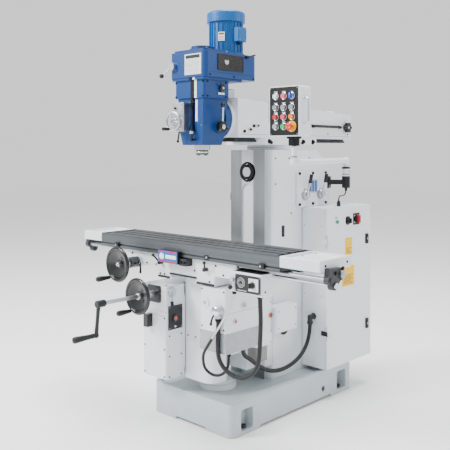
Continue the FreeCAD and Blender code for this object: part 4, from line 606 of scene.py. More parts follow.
class MILL_OT_castings(bpy.types.Operator):
    """Give the castings, housings, ways and levers their finishes"""
    bl_idname = "mill.castings"
    bl_label = "Castings"

    def execute(self, context):
        c = context.scene.mill_colours
        white, grey = tuple(c.enamel), tuple(c.base)
        blue, motor = tuple(c.head), tuple(c.motor)
        paint = enamel(white)
        black = moulded(linear("161719"), 0.34)
        iron = turned(linear("1d1e20"), 0.36, 0.7)
        steel = turned(linear("b4b8bb"), 0.28)
        bright = turned(linear("dcdfe1"), 0.14)
        satin = turned(linear("c2c6c9"), 0.34)
        dress("base_casting", "base_paint", enamel(grey, 0.40), (), 0.0004, 0.007, 0.15, (0.30, 0.35))
        dress("knee_pedestal", "pedestal_paint", paint, (), 0.0003, 0.003, 0.2, (0.42, 0.2))
        dress("column_casting", "column_paint", paint, (), 0.0004, 0.006, 0.2)
        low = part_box("column_slideway")[0]
        dress("column_slideway", "column_way", ground(linear("8f9397"), (60, 60, 0.9), 0.26), [
            # paler steel down the middle of the way: a painted reflection
            (within(x0=-0.0455, x1=0.0455, y1=low.y + 0.0095), ground(linear("c3c8cb"), (40, 40, 0.8), 0.34)),
            (within(y0=low.y + 0.0012), enamel(shade(white, 0.8), 0.42))], 0.0001, 0.001)
        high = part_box("gear_cover")[1]
        face = high.x - 0.0070
        dress("gear_cover", "gear_cover_paint", paint, [ (within(x0=face + 0.0002), iron)], 0.0002, 0.003, 0.2)
        for end in ("front", "rear"):
            hub = joint_place("gear_lever_" + end + "_turn")
            dress("gear_lever_" + end, "gear_lever_" + end + "_steel", satin, [
                (within(z0=hub.z + 0.070), black)], 0.0001, 0.0015)
        low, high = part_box("horizontal_spindle")
        dress("horizontal_spindle", "arbor_spindle", turned(linear("2a2b2e"), 0.26, 0.9), [
            (about(1, 0.0, (low.z + high.z) / 2, 0.0225), turned(linear("8d9194"), 0.2))], 0.0001, 0.0015)
        low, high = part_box("cabinet_shell")
        dress("cabinet_shell", "cabinet_paint", sheet_paint(shade(white, 0.97)), [
            (within(y1=low.y + 0.0528, z1=0.56), black),
            (within(z0=high.z - 0.0219), black),
            (within(x0=0.180, y0=low.y + 0.13, x1=0.27, y1=high.y - 0.07, z1=high.z - 0.1), black),
            (within(x0=high.x - 0.003, z0=0.9, y1=low.y + 0.06), satin)], 0.0001, 0.002, 0.15)
        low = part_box("cabinet_door")[0]
        face = joint_place("door_swing").x - 0.003
        lamp = joint_place("door_selector_turn")
        dress("cabinet_door", "door_paint", sheet_paint(shade(white, 0.99)), [
            (within(x0=face + 0.0003, y0=low.y + 0.3), iron),
            (within(y1=low.y + 0.0048), satin),
            (about(0, lamp.y - 0.121, lamp.z, 0.0115, face + 0.0003), moulded(linear("1f9a62"), 0.12))], 0.0001,
             0.0025, 0.15)
        dress("door_selector", "door_selector_black", black, (), 0.0001, 0.001, 0.2)
        dress("main_switch", "main_switch_red", moulded(linear("b5222a"), 0.28), [
            (within(x1=face + 0.0122), black)], 0.0001, 0.0015, 0.2)
        dress("pendant_bracket", "bracket_black", cast(linear("1c1d20"), 0.42), (), 0.0002, 0.002)
        post = joint_place("pendant_arm_swing")
        dress("pendant_arm", "pendant_arm_paint", paint, [
            (about(2, post.x, post.y, 0.027, 1.3795, 1.3925), black)], 0.0002, 0.002, 0.2)
        low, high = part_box("pendant_box")
        x0, x1 = low.x + 0.036, high.x - 0.036
        face = joint_place("pendant_rotary_turn")
        dress("pendant_box", "pendant_paint", sheet_paint(white), [
            (within(x0=x0 + 0.004, z0=high.z - 0.262, x1=x1 - 0.004, y1=face.y + 0.0001, z1=high.z - 0.004),
             moulded(linear("0e0f11"), 0.30, 1200.0)),
            (within(x1=x0 - 0.0002), bright),
            (within(x0=x1 + 0.0002), bright),
            (about(1, face.x - 0.108, face.z, 0.0145, None, face.y - 0.0002), moulded(linear("d9ece2"), 0.1)),
            (about(1, face.x - 0.054, face.z, 0.0145, None, face.y - 0.0002), moulded(linear("d9646c"), 0.1)),
            (within(z1=high.z - 0.2662), iron)], 0.0001, 0.002, 0.2)
        for node, code in (("pendant_rotary", "2a5fc0"), ("estop_button", "d83418"),
                           ("button_grey_left", "8b9094"), ("button_grey_mid", "8b9094"),
                           ("button_grey_right", "8b9094"), ("button_row_left", "b4323c"),
                           ("button_row_mid", "d8505f"), ("button_row_right", "ee7a2c"),
                           ("button_low_left", "9ba0a3"), ("button_low_mid", "3fa06a")):
            dress(node, node + "_resin", moulded(linear(code), 0.24, 900.0), (), 0.0001, 0.0012, 0.35)
        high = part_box("knee_casting")[1]
        dress("knee_casting", "knee_paint", paint, [
            (within(z0=high.z - 0.0249), ground(linear("5d6063"), (50, 0.8, 50), 0.34))], 0.0004, 0.004, 0.2)
        dress("knee_gearbox", "gearbox_paint", paint, [
            (within(x1=-0.1, y1=-0.6602), black),
            (within(x0=-0.0848), moulded(linear("1a1b1c"), 0.4))], 0.0003, 0.003, 0.2)
        hub = joint_place("feed_dial_turn")
        dress("feed_dial_lever", "feed_dial_chrome", satin, [ (within(z1=hub.z - 0.046), black)], 0.0001, 0.001)
        dress("knee_feed_box", "feed_box_paint", paint, [
            (within(y1=-0.6102), satin),
            (within(y1=-0.50, z1=0.545), sheet_paint(linear("b9bec1"), 0.34)),
            (within(z1=0.394), cast(linear("8a8a86"), 0.5))], 0.0003, 0.003, 0.2)
        dress("knee_screw", "knee_screw_steel", steel, (), 0.0001, 0.001)
        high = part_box("saddle_casting")[1]
        wheel = joint_place("table_handwheel_turn")
        dress("saddle_casting", "saddle_paint", paint, [
            (within(z0=high.z - 0.0303), ground(linear("6b6e70"), (0.8, 50, 50))),
            (within(x0=-0.14, x1=0.075, y1=-0.6153), black),
            (about(1, wheel.x, wheel.z, 0.0313, None, -0.6153), cast(linear("4c4f52"), 0.4))], 0.0003, 0.003,
             0.2)
        for side in ("left", "right"):
            dress("lock_lever_" + side, "lock_lever_" + side + "_black", black, (), 0.0001, 0.001, 0.2)
        knob = joint_place("feed_selector_turn")
        dress("feed_gearbox", "table_feed_paint", paint, [
            (within(y1=-0.6602), moulded(linear("131416"), 0.36)),
            (within(x0=knob.x - 0.026, z0=knob.z - 0.030, x1=knob.x + 0.036, y1=-0.6628, z1=knob.z + 0.032),
             sheet_paint(linear("e4e7e8"), 0.35))], 0.0002, 0.002, 0.2)
        dress("feed_selector", "feed_knob_black", black, (), 0.0001, 0.001, 0.2)
        dress("feed_lever", "feed_lever_black", black, [
            (within(z0=0.835, y1=-0.6605), satin)], 0.0001, 0.001, 0.2)
        low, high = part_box("table_top")
        mid = (low.y + high.y) / 2
        # darker iron inside the T slots: partly the unground iron, partly painted shade
        slot_iron_and_shade = [(within(y0=mid + k * 0.063 - 0.0145, z0=high.z - 0.040, y1=mid + k * 0.063 + 0.0145,
                         z1=high.z - 0.0012), cast(linear("26282a"), 0.4)) for k in (-1, 0, 1)]
        dress("table_top", "table_iron", ground(linear("4a4e52"), (0.7, 70, 70), 0.40), slot_iron_and_shade + [
            (within(y1=low.y + 0.0005, z1=high.z - 0.002), ground(linear("64696d"), (0.6, 60, 90), 0.42))],
             0.00012, 0.0012)
        dress("table_end_covers", "end_cover_paint", enamel(white, 0.32), (), 0.0002, 0.003, 0.2)
        rod_y, rod_z = -0.595, 0.9121
        dress("end_bracket", "bracket_iron", cast(linear("3c3e41"), 0.46), [
            (about(0, rod_y, rod_z, 0.0102, -0.862, 0.918), steel)], 0.0004, 0.002)
        dress("table_leadscrew", "leadscrew_steel", steel, (), 0.0001, 0.001)
        dress("feed_shaft", "feed_shaft_steel", bright, (), 0.0001, 0.001)
        dress("turret_block", "turret_paint", paint, [ (within(x0=0.1602), iron)], 0.0003, 0.003, 0.2)
        low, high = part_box("ram_casting")
        dress("ram_casting", "ram_paint", paint, [
            (within(x0=0.1302), iron),
            (within(y0=high.y - 0.2, z0=high.z - 0.08), enamel(grey, 0.4)),
            (within(z1=low.z + 0.0238), ground(linear("3f4244"), (50, 1, 50)))], 0.0004, 0.005, 0.2)
        dress("ram_handwheel", "ram_knob_black", black, (), 0.0002, 0.0015, 0.2)
        front = joint_place("speed_lever_turn").y + 0.028
        dress("head_housing", "head_blue", enamel(blue, 0.38), [
            (within(x0=0.010, x1=0.0365, y1=front - 0.0003), turned(linear("3a3c3f"), 0.25)),
            (within(x0=0.0405, x1=0.0575, y1=front - 0.0002), sheet_paint(linear("eceeee"), 0.3)),
            (within(x1=-0.0078, y1=front - 0.0002, z1=1.60), black),
            (within(z0=1.60, x1=-0.0078, y1=front - 0.0002, z1=1.762), satin)], 0.0003, 0.003, 0.08)
        dress("belt_housing", "belt_cover_blue", enamel(blue, 0.38), [
            (within(x0=0.1402), moulded(linear("0c0d0f"), 0.14)),
            (within(y1=front - 0.0282), sheet_paint(linear("dfe3e5"), 0.36))], 0.0003, 0.005, 0.08)
        dress("head_motor", "motor_blue", enamel(motor, 0.38), (), 0.0003, 0.002, 0.08)
        dress("quill", "quill_steel", bright, (), 0.0001, 0.001)
        dress("depth_stop", "depth_stop_black", iron, (), 0.0001, 0.001)
        dress("spindle", "spindle_steel", turned(linear("5c5f63"), 0.22), (), 0.0001, 0.0012)
        hub = joint_place("quill_lever_turn")
        dress("quill_lever", "quill_lever_black", black, [
            (within(z0=hub.z + 0.030, z1=hub.z + 0.105), steel)], 0.0001, 0.0012, 0.2)
        dress("fine_feed_wheel", "fine_wheel_satin", turned(linear("cfd3d6"), 0.26), [
            (within(y1=joint_place("fine_feed_turn").y - 0.008, z1=1.64), black)], 0.0001, 0.0012)
        dress("speed_lever", "speed_lever_steel", satin, [ (within(x1=-0.160), black)], 0.0001, 0.0012)
        return {"FINISHED"}


# ---- wheels and crank ----------------------------------------------------------------
def dial_ring(piece, centre, axis, radius, length, marks, out):
    """Graduated ring: satin barrel with dark lines round it."""
    axis = Vector(axis)
    r = radius
    piece.turned([(r * 0.6, 0), (r - 0.0015, 0), (r, 0.0015), (r, length - 0.0015), (r - 0.0015, length),
                  (r * 0.6, length)], centre, axis, mat("satin"), 64)
    side = axis.orthogonal().normalized()
    for k in range(marks):
        a = 2 * math.pi * k / marks
        turn = Matrix.Rotation(a, 3, axis)
        reach = length * (0.62 if k % 5 == 0 else 0.36)
        foot = Vector(centre) + turn @ (side * (r + out)) + axis * 0.0016
        piece.rod(foot, foot + axis * reach, 0.00045, mat("ink"), 0.0001, 4)


def handwheel(name, node, handle_angle, sleeve_radius, hollow):
    """Dished wheel with rolled rim, dial and turned handle. A hollow hub lets a shaft through."""
    low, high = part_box(node)
    pin = joint_place(node + "_turn")
    rim_y = low.y + 0.1125
    wheel = Piece(name)
    black = mat("black_gloss")
    centre = Vector((pin.x, rim_y, pin.z))
    back = (0, 1, 0)
    wheel.torus(centre, back, 0.089, 0.011, black, 88, 18, 0.92)
    dish = [(0.0, 0.0155), (0.024, 0.0155), (0.040, 0.0095), (0.060, 0.0015), (0.074, -0.0035),
            (0.084, -0.0045), (0.084, 0.0035), (0.074, 0.0045), (0.060, 0.0095), (0.040, 0.0175),
            (0.024, 0.0235), (0.0, 0.0235)]
    wheel.turned(dish, centre, back, black, 72)
    wheel.turned([(0.0, 0.010), (0.021, 0.010), (0.0245, 0.0135), (0.0250, 0.033), (0.0, 0.033)], centre, back,
                 black, 48)
    if hollow:
        wheel.turned([(0.0125, 0.0), (0.0175, 0.0), (0.0190, 0.002), (0.0190, 0.0105), (0.0125, 0.0105)],
                     centre, back, mat("satin"), 48)
    else:
        wheel.turned([(0.0, 0.0), (0.0125, 0.0), (0.0145, 0.002), (0.0145, 0.0105), (0.0, 0.0105)], centre,
                     back, mat("satin"), 6)
        wheel.turned([(0.0, -0.006), (0.0058, -0.006), (0.0066, -0.005), (0.0066, 0.001), (0, 0.001)], centre,
                     back, mat("chrome"), 28)
        for k in range(3):
            a = math.radians(handle_angle + 60 + 120 * k)
            spot = centre + Vector((0.017 * math.cos(a), 0.0095, 0.017 * math.sin(a)))
            wheel.screw(spot, (0, -1, 0), 0.0028, mat("screw_steel"), mat("recess_shade_and_seam"), 0.002)
    dial_ring(wheel, centre + Vector((0, 0.0345, 0)), back, 0.038, 0.027, 50, 0.0001)
    sleeve = high.y - rim_y - 0.034
    wheel.turned([(0.0113, 0.0), (sleeve_radius, 0.0), (sleeve_radius, sleeve), (0.0113, sleeve)],
                 centre + Vector((0, 0.034, 0)), back, mat("satin"), 32)
    a = math.radians(handle_angle)
    grip = centre + Vector((0.087 * math.cos(a), 0.0, 0.087 * math.sin(a)))
    wheel.turned([(0, -0.004), (0.0135, -0.004), (0.0135, 0.004), (0.0, 0.004)], grip, (0, -1, 0), black, 28)
    wheel.stud(0.007, 0.022, 0.022, grip, (0, -1, 0), mat("chrome"), 24)
    turned_grip = [(0, 0.0210), (0.0088, 0.0210), (0.0100, 0.0230), (0.0104, 0.030), (0.0118, 0.048),
                   (0.0140, 0.072), (0.0152, 0.088), (0.0152, 0.097), (0.0140, 0.105), (0.0105, 0.1105),
                   (0.005, 0.1123), (0, 0.1125)]
    wheel.turned(turned_grip, grip, (0, -1, 0), mat("black_grip"), 32)
    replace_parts(wheel.done(node), node)


class MILL_OT_handwheels(bpy.types.Operator):
    """Build the two dished handwheels with their dials"""
    bl_idname = "mill.handwheels"
    bl_label = "Handwheels"

    def execute(self, context):
        handwheel("cross_wheel", "cross_handwheel", 247, 0.018, True)
        handwheel("table_wheel", "table_handwheel", 240, 0.012, False)
        return {"FINISHED"}


class MILL_OT_crank(bpy.types.Operator):
    """Build the forged lifting crank with its revolving grip"""
    bl_idname = "mill.crank"
    bl_label = "Lifting crank"

    def execute(self, context):
        low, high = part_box("knee_crank")
        pin = joint_place("knee_crank_turn")
        y = low.y + 0.141
        crank = Piece("lifting_crank")
        black = mat("black_iron")
        crank.rod((pin.x, y, pin.z), (pin.x, high.y, pin.z), 0.011, mat("satin"))
        crank.turned([(0, -0.014), (0.0165, -0.014), (0.019, -0.0115), (0.019, 0.034), (0.016, 0.040),
                      (0, 0.040)], (pin.x, y, pin.z), (0, 1, 0), black, 40)
        a = math.radians(263)
        down = Vector((math.cos(a), 0, math.sin(a)))
        hub = Vector((pin.x, y, pin.z))
        end = hub + down * 0.165
        points = [hub + down * (0.165 * k / 12) for k in range(13)]
        radii = [0.0118 - 0.0022 * math.sin(math.pi * min(1.0, k / 12)) for k in range(13)]
        crank.bent(points, radii, black, 18)
        crank.ball(end, 0.0148, black)
        crank.stud(0.0068, 0.019, 0.019, end, (0, -1, 0), mat("chrome"), 24)
        grip = [(0, 0.016), (0.0118, 0.016), (0.0130, 0.018), (0.0130, 0.024), (0.0124, 0.034), (0.0132, 0.060),
                (0.0150, 0.092), (0.0168, 0.118), (0.0170, 0.130), (0.0155, 0.138), (0.010, 0.1405), (0, 0.141)]
        crank.turned(grip, end, (0, -1, 0), mat("black_grip"), 32)
        # two dark rings on the grip are painted shade in its grooves
        for k in range(2):
            crank.torus(end + Vector((0, -0.112 - 0.009 * k, 0)), (0, 1, 0), 0.0160, 0.0008, mat("recess_shade_and_seam"), 32,
                        6)
        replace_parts(crank.done("knee_crank"), "knee_crank")
        return {"FINISHED"}


# ---- hoses ---------------------------------------------------------------------------
def smooth_line(name, route, step):
    """Points evenly along the smooth curve of a route."""
    data = bpy.data.curves.new(name, "CURVE")
    data.dimensions = "3D"
    data.resolution_u = 24
    spline = data.splines.new("NURBS")
    spline.points.add(len(route) - 1)
    for point, co in zip(spline.points, route):
        point.co = (*co, 1.0)
    spline.order_u = 3
    spline.use_endpoint_u = True
    curve = bpy.data.objects.new(name, data)
    bpy.context.scene.collection.objects.link(curve)
    bpy.context.view_layer.update()
    line = bpy.data.meshes.new_from_object(curve.evaluated_get(bpy.context.evaluated_depsgraph_get()))
    points = [v.co.copy() for v in line.vertices]
    bpy.data.meshes.remove(line)
    bpy.data.objects.remove(curve)
    bpy.data.curves.remove(data)
    total = sum((b - a).length for a, b in zip(points, points[1:]))
    count = max(2, round(total / step))
    gap = total / count
    out = [points[0]]
    gone = 0.0
    for a, b in zip(points, points[1:]):
        span = (b - a).length
        while len(out) < count and gone + span >= gap * len(out):
            out.append(a + (b - a) * ((gap * len(out) - gone) / span))
        gone += span
    out.append(points[-1])
    return out, total


def ribbed_hose(name, route, radius, node, body, across=None, plain_from=None):
    """Hose with raised ribs along its smooth line, riding on its body, or fixed in place when it runs across
    two bodies.
    """
    pitch = bpy.context.scene.mill_sizes.rib_pitch
    quarter = pitch / 4
    points, total = smooth_line(name + "_line", route, quarter)
    swell = (0.0, 0.5, 1.0, 0.5)
    ribbed = radius > 0.005
    radii = [radius * (0.90 + 0.10 * swell[k % 4]) if ribbed else radius for k in range(len(points))]
    hose = Piece(name)
    if plain_from is not None:
        cut = round(len(points) * plain_from)
        hose.bent(points[:cut + 1], [radius * 0.80] * (cut + 1), mat("satin"), 16)
        hose.bent(points[cut:], radii[cut:], mat("hose_black"), 16)
    else:
        hose.bent(points, radii, mat("hose_black"), 16)
    obj = hose.done(None if across else body, 80.0)
    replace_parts(obj, node)
    if across:
        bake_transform(obj)
    return obj, points, total


class MILL_OT_hoses(bpy.types.Operator):
    """Build the black conduits and the cable of the control box"""
    bl_idname = "mill.hoses"
    bl_label = "Hoses"

    def execute(self, context):
        feed = [(0.495, -0.555, 0.7731), (0.495, -0.555, 0.7291), (0.500, -0.556, 0.6551),
                (0.499, -0.558, 0.5771), (0.496, -0.559, 0.5111)]
        feed += half_turn(0.495, 0.273, 0.4611, -0.560, -0.632)
        feed += [(0.270, -0.626, 0.509), (0.271, -0.626, 0.557), (0.273, -0.626, 0.601), (0.273, -0.626, 0.635)]
        obj, points, total = ribbed_hose("feed_conduit", feed, 0.012, "feed_hose", "saddle",
                                         ("saddle", "knee", (0.47, -0.56, 0.5), (0.30, -0.60, 0.5)))
        thin = [(0.404, -0.646, 0.7991), (0.404, -0.646, 0.7651), (0.384, -0.652, 0.7151),
                (0.338, -0.656, 0.6431), (0.282, -0.657, 0.5671), (0.228, -0.655, 0.4951),
                (0.184, -0.650, 0.4371)]
        thin += half_turn(0.183, 0.295, 0.388, -0.646, -0.572)
        thin += [(0.295, -0.570, 0.414), (0.295, -0.570, 0.450)]
        obj, points, total = ribbed_hose("coolant_conduit", thin, 0.008, "coolant_line", "saddle",
            ("saddle", "knee", (0.34, -0.65, 0.780), (0.34, -0.65, 0.480)), 0.42)
        wide = [(0.255, 0.187, 0.468), (0.255, 0.187, 0.414), (0.254, 0.153, 0.330), (0.249, 0.075, 0.266),
                (0.242, -0.043, 0.236), (0.235, -0.158, 0.246), (0.228, -0.259, 0.300), (0.222, -0.321, 0.352),
                (0.219, -0.359, 0.372), (0.218, -0.380, 0.409), (0.218, -0.380, 0.450)]
        obj, points, total = ribbed_hose("cabinet_conduit", wide, 0.012, "cabinet_hose", "frame",
                                         ("frame", "knee", (0.24, 0.15, 0.3), (0.24, -0.33, 0.3)))
        socket = joint_place("pendant_arm_swing")
        top = Vector((socket.x, socket.y, 1.258))
        end = Vector((0.292, 0.435, 1.172))
        across = Vector((end.x - top.x, end.y - top.y, 0))
        span = across.length
        across.normalize()
        r = (top.z - end.z) / 2
        steps = [(0, 0), (0, 0.45), (0.25, 0.8), (0.7, 1)]
        down = Vector((0, 0, 1))
        lead = [top + across * (r * s) - down * (r * d) for s, d in steps]
        lead.append(top + across * (span / 2) - down * (r * 1.12))
        lead += [end - across * (r * s) + down * (r * d) for s, d in reversed(steps)]
        lead = [tuple(p) for p in lead]
        obj, points, total = ribbed_hose("pendant_lead", lead, 0.004, "pendant_cable", "frame")
        for body, ends in (("saddle", ((feed[0], 0.0165, 6), (thin[0], 0.0115, 24))),
                           ("knee", ((feed[-1], 0.0165, 24), (thin[-1], 0.0115, 24), (wide[-1], 0.0165, 24)))):
            collar = Piece("hose_collars_" + body)
            for spot, r, sides in ends:
                collar.turned([(r * 0.75, 0.0), (r, 0.0), (r, 0.012), (r * 0.8, 0.016), (r * 0.75, 0.016)],
                              spot, (0, 0, -1), mat("screw_black"), sides)
            collar.done(body)
        return {"FINISHED"}


def half_turn(x0, x1, z, y0, y1):
    """Route points of a hanging half turn from x0 down and round to x1."""
    c = (x0 + x1) / 2
    r = (x0 - x1) / 2 / math.cos(math.radians(15))
    out = []
    for k in range(6):
        a = math.radians(15 + 30 * k)
        share = (k + 0.5) / 6
        out.append((c + r * math.cos(a), y0 + (y1 - y0) * share, z - abs(r) * math.sin(a)))
    return out


# ---- head ----------------------------------------------------------------------------
def ruled(piece, low, high, axis, rows, columns, ink, lift=0.0002):
    """Thin rules across a plate: a blank chart with no lettering."""
    i, j = [k for k in range(3) if k != axis]
    for count, run, step in ((rows, i, j), (columns, j, i)):
        for k in range(count + 1):
            a, b = list(low), list(high)
            at = low[step] + (high[step] - low[step]) * k / count
            a[step], b[step] = at - 0.0005, at + 0.0005
            a[axis], b[axis] = sorted((low[axis], low[axis] + lift))
            piece.block(a, b, ink, 0.0)
    return piece


class MILL_OT_head(bpy.types.Operator):
    """Add the charts, screws, scale, window and knobs of the head"""
    bl_idname = "mill.head"
    bl_label = "Head fittings"

    def execute(self, context):
        r = context.scene.mill_sizes.screw_radius
        dark, black, steel = mat("recess_shade_and_seam"), mat("screw_black"), mat("screw_steel")
        low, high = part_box("belt_housing")
        front = joint_place("speed_lever_turn").y
        part = Piece("speed_chart")
        part.slab((-0.013, front - 0.0042, low.z + 0.015), (0.111, front - 0.0029, low.z + 0.125), 1, 0.003,
                  mat("white_plate"), 0.0003)
        ruled(part, (-0.006, front - 0.0043, low.z + 0.020), (0.104, front - 0.0043, low.z + 0.096), 1, 6, 5,
              mat("ink"), -0.0002)
        rows = random.Random(4)
        for n in range(6):
            for k in range(5):
                x = -0.006 + 0.022 * k + 0.004
                z = low.z + 0.020 + 0.01267 * n + 0.0040
                part.block((x, front - 0.0044, z), (x + 0.006 + 0.007 * rows.random(), front - 0.0040,
                        z + 0.0038), mat("ink"), 0.0)
        part.slab((-0.006, front - 0.0044, low.z + 0.101), (0.104, front - 0.0040, low.z + 0.120), 1, 0.002,
                  mat("ink"), 0.0001)
        for x in (-0.0095, 0.1075):
            for z in (low.z + 0.0175, low.z + 0.1225):
                part.ball((x, front - 0.0042, z), 0.0013, steel, 0.5, (0, 1, 0))
        part.done("head")
        part = Piece("belt_window_frame")
        x = 0.1432
        y0, y1, z0, z1 = front + 0.099, front + 0.299, low.z + 0.045, low.z + 0.125
        for a, b in (((y0 - 0.004, z0 - 0.004), (y1 + 0.004, z0 + 0.002)), ((y0 - 0.004, z1 - 0.002),
                     (y1 + 0.004, z1 + 0.004)), ((y0 - 0.004, z0), (y0 + 0.002, z1)), ((y1 - 0.002, z0),
                     (y1 + 0.004, z1))):
            part.block((x - 0.0035, a[0], a[1]), (x + 0.0012, b[0], b[1]), mat("rubber"), 0.001)
        for k, (size, tone) in enumerate(((0.021, "black_iron"), (0.016, "screw_steel"),
                (0.011, "black_iron"))):
            part.turned([(0, 0), (size, 0), (size, 0.0008 + 0.0004 * k), (0, 0.0008 + 0.0004 * k)],
                        (x - 0.0002, front + 0.165, low.z + 0.074 + 0.016 * k), (1, 0, 0), mat(tone), 36)
        for k in range(5):
            part.block((x - 0.0002, front + 0.190, low.z + 0.062 + 0.009 * k),
                       (x + 0.0006, front + 0.285, low.z + 0.066 + 0.009 * k), mat("rubber"), 0.0003)
        part.done("head")
        part = Piece("belt_cover_screws")
        for y in (low.y + 0.040, low.y + 0.230, high.y - 0.03):
            for s in (-1, 1):
                part.screw((s * 0.1401, y, low.z + 0.012), (s, 0, 0), r * 0.8, black, dark, 0.003)
        part.screws(grid((-0.125, 0.125), low.y + 0.0293, low.z + 0.012), (0, -1, 0), r * 0.8, black, dark,
                    0.003)
        part.block((-0.1405, low.y + 0.05, low.z + 0.0268), (0.1405, high.y - 0.04, low.z + 0.0278),
                   mat("recess_shade_and_seam"), 0.0)
        for k in range(7):
            y = low.y + 0.205 + 0.009 * k
            part.block((-0.105, y, 2.0340), (0.06, y + 0.004, 2.0405), mat("blue_enamel"), 0.0012)
        part.done("head")
        low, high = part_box("head_motor")
        centre = Vector((0.0, -0.277, 0.0))
        part = Piece("motor_fittings")
        # dark discs on top of the fan cap stand for the holes of its grille: painted shade
        for k in range(28):
            a = 2 * math.pi * k / 28
            for radius in (0.050, 0.066, 0.082):
                spot = centre + Vector((radius * math.cos(a + radius * 30), radius * math.sin(a + radius * 30),
                                        high.z - 0.0003))
                part.rod(spot, spot + Vector((0, 0, 0.0003)), 0.0026, dark, 0.00005, 8)
        part.stud(0.016, 0.0002, 0.0002, centre + Vector((0, 0, high.z - 0.0002)), (0, 0, 1),
                  mat("motor_enamel"), 24)
        part.torus(centre + Vector((0, 0, high.z - 0.0608)), (0, 0, 1), 0.1095, 0.0011, mat("motor_enamel"), 72,
                   8)
        part.torus(centre + Vector((0, 0, 2.0520)), (0, 0, 1), 0.1010, 0.0022, mat("motor_enamel"), 72, 8)
        for k in range(4):
            a = math.radians(45 + 90 * k)
            spot = centre + Vector((0.0985 * math.cos(a), 0.0985 * math.sin(a), 2.0500))
            part.stud(0.0065, 0.0055, 0.0060, spot, (0, 0, 1), steel, 6)
        for k in range(4):
            a = math.radians(20 + 90 * k)
            way = Vector((math.cos(a), math.sin(a), 0))
            part.screw(centre + way * 0.1099 + Vector((0, 0, high.z - 0.040)), way, 0.0035, steel, dark, 0.0015)
        turn = math.radians(-62)
        for z0, z1, w, tone, lift in ((2.115, 2.165, 0.019, "white_plate", 0.0985),
                                      (2.150, 2.160, 0.015, "ink_red", 0.0991),
                                      (2.122, 2.124, 0.014, "ink", 0.0991),
                                      (2.130, 2.132, 0.014, "ink", 0.0991),
                                      (2.138, 2.140, 0.014, "ink", 0.0991)):
            mid = centre + Vector((math.cos(turn), math.sin(turn), 0)) * lift
            part.block((mid.x - w, mid.y - 0.0008, z0), (mid.x + w, mid.y + 0.0008, z1), mat(tone), 0.0003, 1,
                       ((mid.x, mid.y, z0), "Z", turn + math.pi / 2))
        box_x = 0.1265
        part.slab((box_x, -0.308, 2.113), (box_x + 0.0035, -0.246, 2.189), 0, 0.006, mat("motor_enamel"), 0.001)
        part.screws(grid(box_x + 0.0035, (-0.302, -0.252), (2.119, 2.183)), (1, 0, 0), 0.003, steel, dark,
                    0.0012)
        part.turned([(0, 0), (0.011, 0), (0.011, 0.010), (0.008, 0.014), (0, 0.014)], (0.108, -0.277, 2.1101),
                    (0, 0, -1), mat("rubber"), 24)
        part.done("head")
        part = Piece("head_screws")
        tilt = joint_place("head_tilt")
        for angle in (38, 142, 218, 322):
            a = math.radians(angle)
            spot = (tilt.x + 0.099 * math.cos(a), tilt.y - 0.0246, tilt.z + 0.099 * math.sin(a))
            part.stud(0.0095, 0.0035, 0.004, spot, (0, -1, 0), steel, 28)
            part.turned([(0, 0.003), (0.0068, 0.003), (0.0068, 0.013), (0, 0.0135)], spot, (0, -1, 0), steel, 6)
        part.screws(grid((-0.085, 0.085), -0.5602, 1.635), (0, -1, 0), r * 0.8, steel, dark, 0.003)
        part.screws(grid((-0.105, 0.105), -0.5699, (1.792, 1.870)), (0, -1, 0), r * 0.9, black, dark, 0.003)
        part.screws(grid(0.1149, (-0.545, -0.400), (1.792, 1.870)), (1, 0, 0), r * 0.9, black, dark, 0.003)
        part.slab((0.1150, -0.470, 1.800), (0.1168, -0.405, 1.868), 0, 0.006, mat("blue_enamel"), 0.0006)
        part.turned([(0, 0), (0.019, 0), (0.021, 0.003), (0.021, 0.010), (0.016, 0.014), (0, 0.014)],
                    (0.1166, -0.437, 1.838), (1, 0, 0), mat("black_gloss"), 36)
        part.turned([(0, 0.0139), (0.007, 0.0139), (0.007, 0.016), (0, 0.0165)], (0.1166, -0.437, 1.838),
                    (1, 0, 0), steel, 24)
        part.rod((0.1280, -0.445, 1.846), (0.1340, -0.462, 1.866), 0.0035, mat("black_gloss"))
        part.slab((0.1168, -0.462, 1.803), (0.1172, -0.413, 1.814), 0, 0.001, mat("white_plate"), 0.0001)
        x = 0.049
        for k in range(31):
            z = 1.662 + 0.0032 * k
            reach = 0.0075 if k % 5 == 0 else 0.0042
            part.block((x + 0.0075 - reach, -0.5634, z), (x + 0.0075, -0.5630, z + 0.0006), mat("ink"), 0.0)
        for z in (1.6585, 1.7685):
            part.ball((x, -0.5632, z), 0.0022, steel, 0.5, (0, 1, 0))
        part.turned([(0.005, 0), (0.0118, 0.0), (0.0125, 0.001), (0.0125, 0.013), (0.0118, 0.014),
                     (0.005, 0.014)], (0.023, -0.573, 1.588), (0, 0, 1), mat("satin"), 32)
        part.done("head")
        part = Piece("feed_apron_fittings")
        face = -0.6051
        part.slab((-0.088, face - 0.0012, 1.706), (-0.016, face, 1.752), 1, 0.004, mat("grey_plate"), 0.0004)
        part.screws(grid((-0.083, -0.021), face - 0.001, (1.711, 1.747)), (0, -1, 0), 0.003, steel, dark,
                    0.0015)
        part.stud(0.0065, 0.010, 0.011, (-0.070, face, 1.729), (0, -1, 0), mat("black_gloss"), 24)
        wheel = joint_place("fine_feed_turn")
        part.done("head")
        dial = Piece("fine_wheel_dial")
        dial_ring(dial, (wheel.x, wheel.y + 0.010, wheel.z), (0, 1, 0), 0.021, 0.016, 30, 0.0001)
        dial.turned([(0, 0), (0.0065, 0), (0.0075, 0.002), (0.0075, 0.006), (0, 0.006)],
                    (wheel.x, wheel.y - 0.013, wheel.z), (0, 1, 0), steel, 6)
        dial.torus((wheel.x, wheel.y, wheel.z), (0, 1, 0), 0.0505, 0.0066, mat("satin"), 72, 14, 1.15)
        dial.done("fine_feed_wheel")
        hub = joint_place("quill_lever_turn")
        part = Piece("quill_hub_cap")
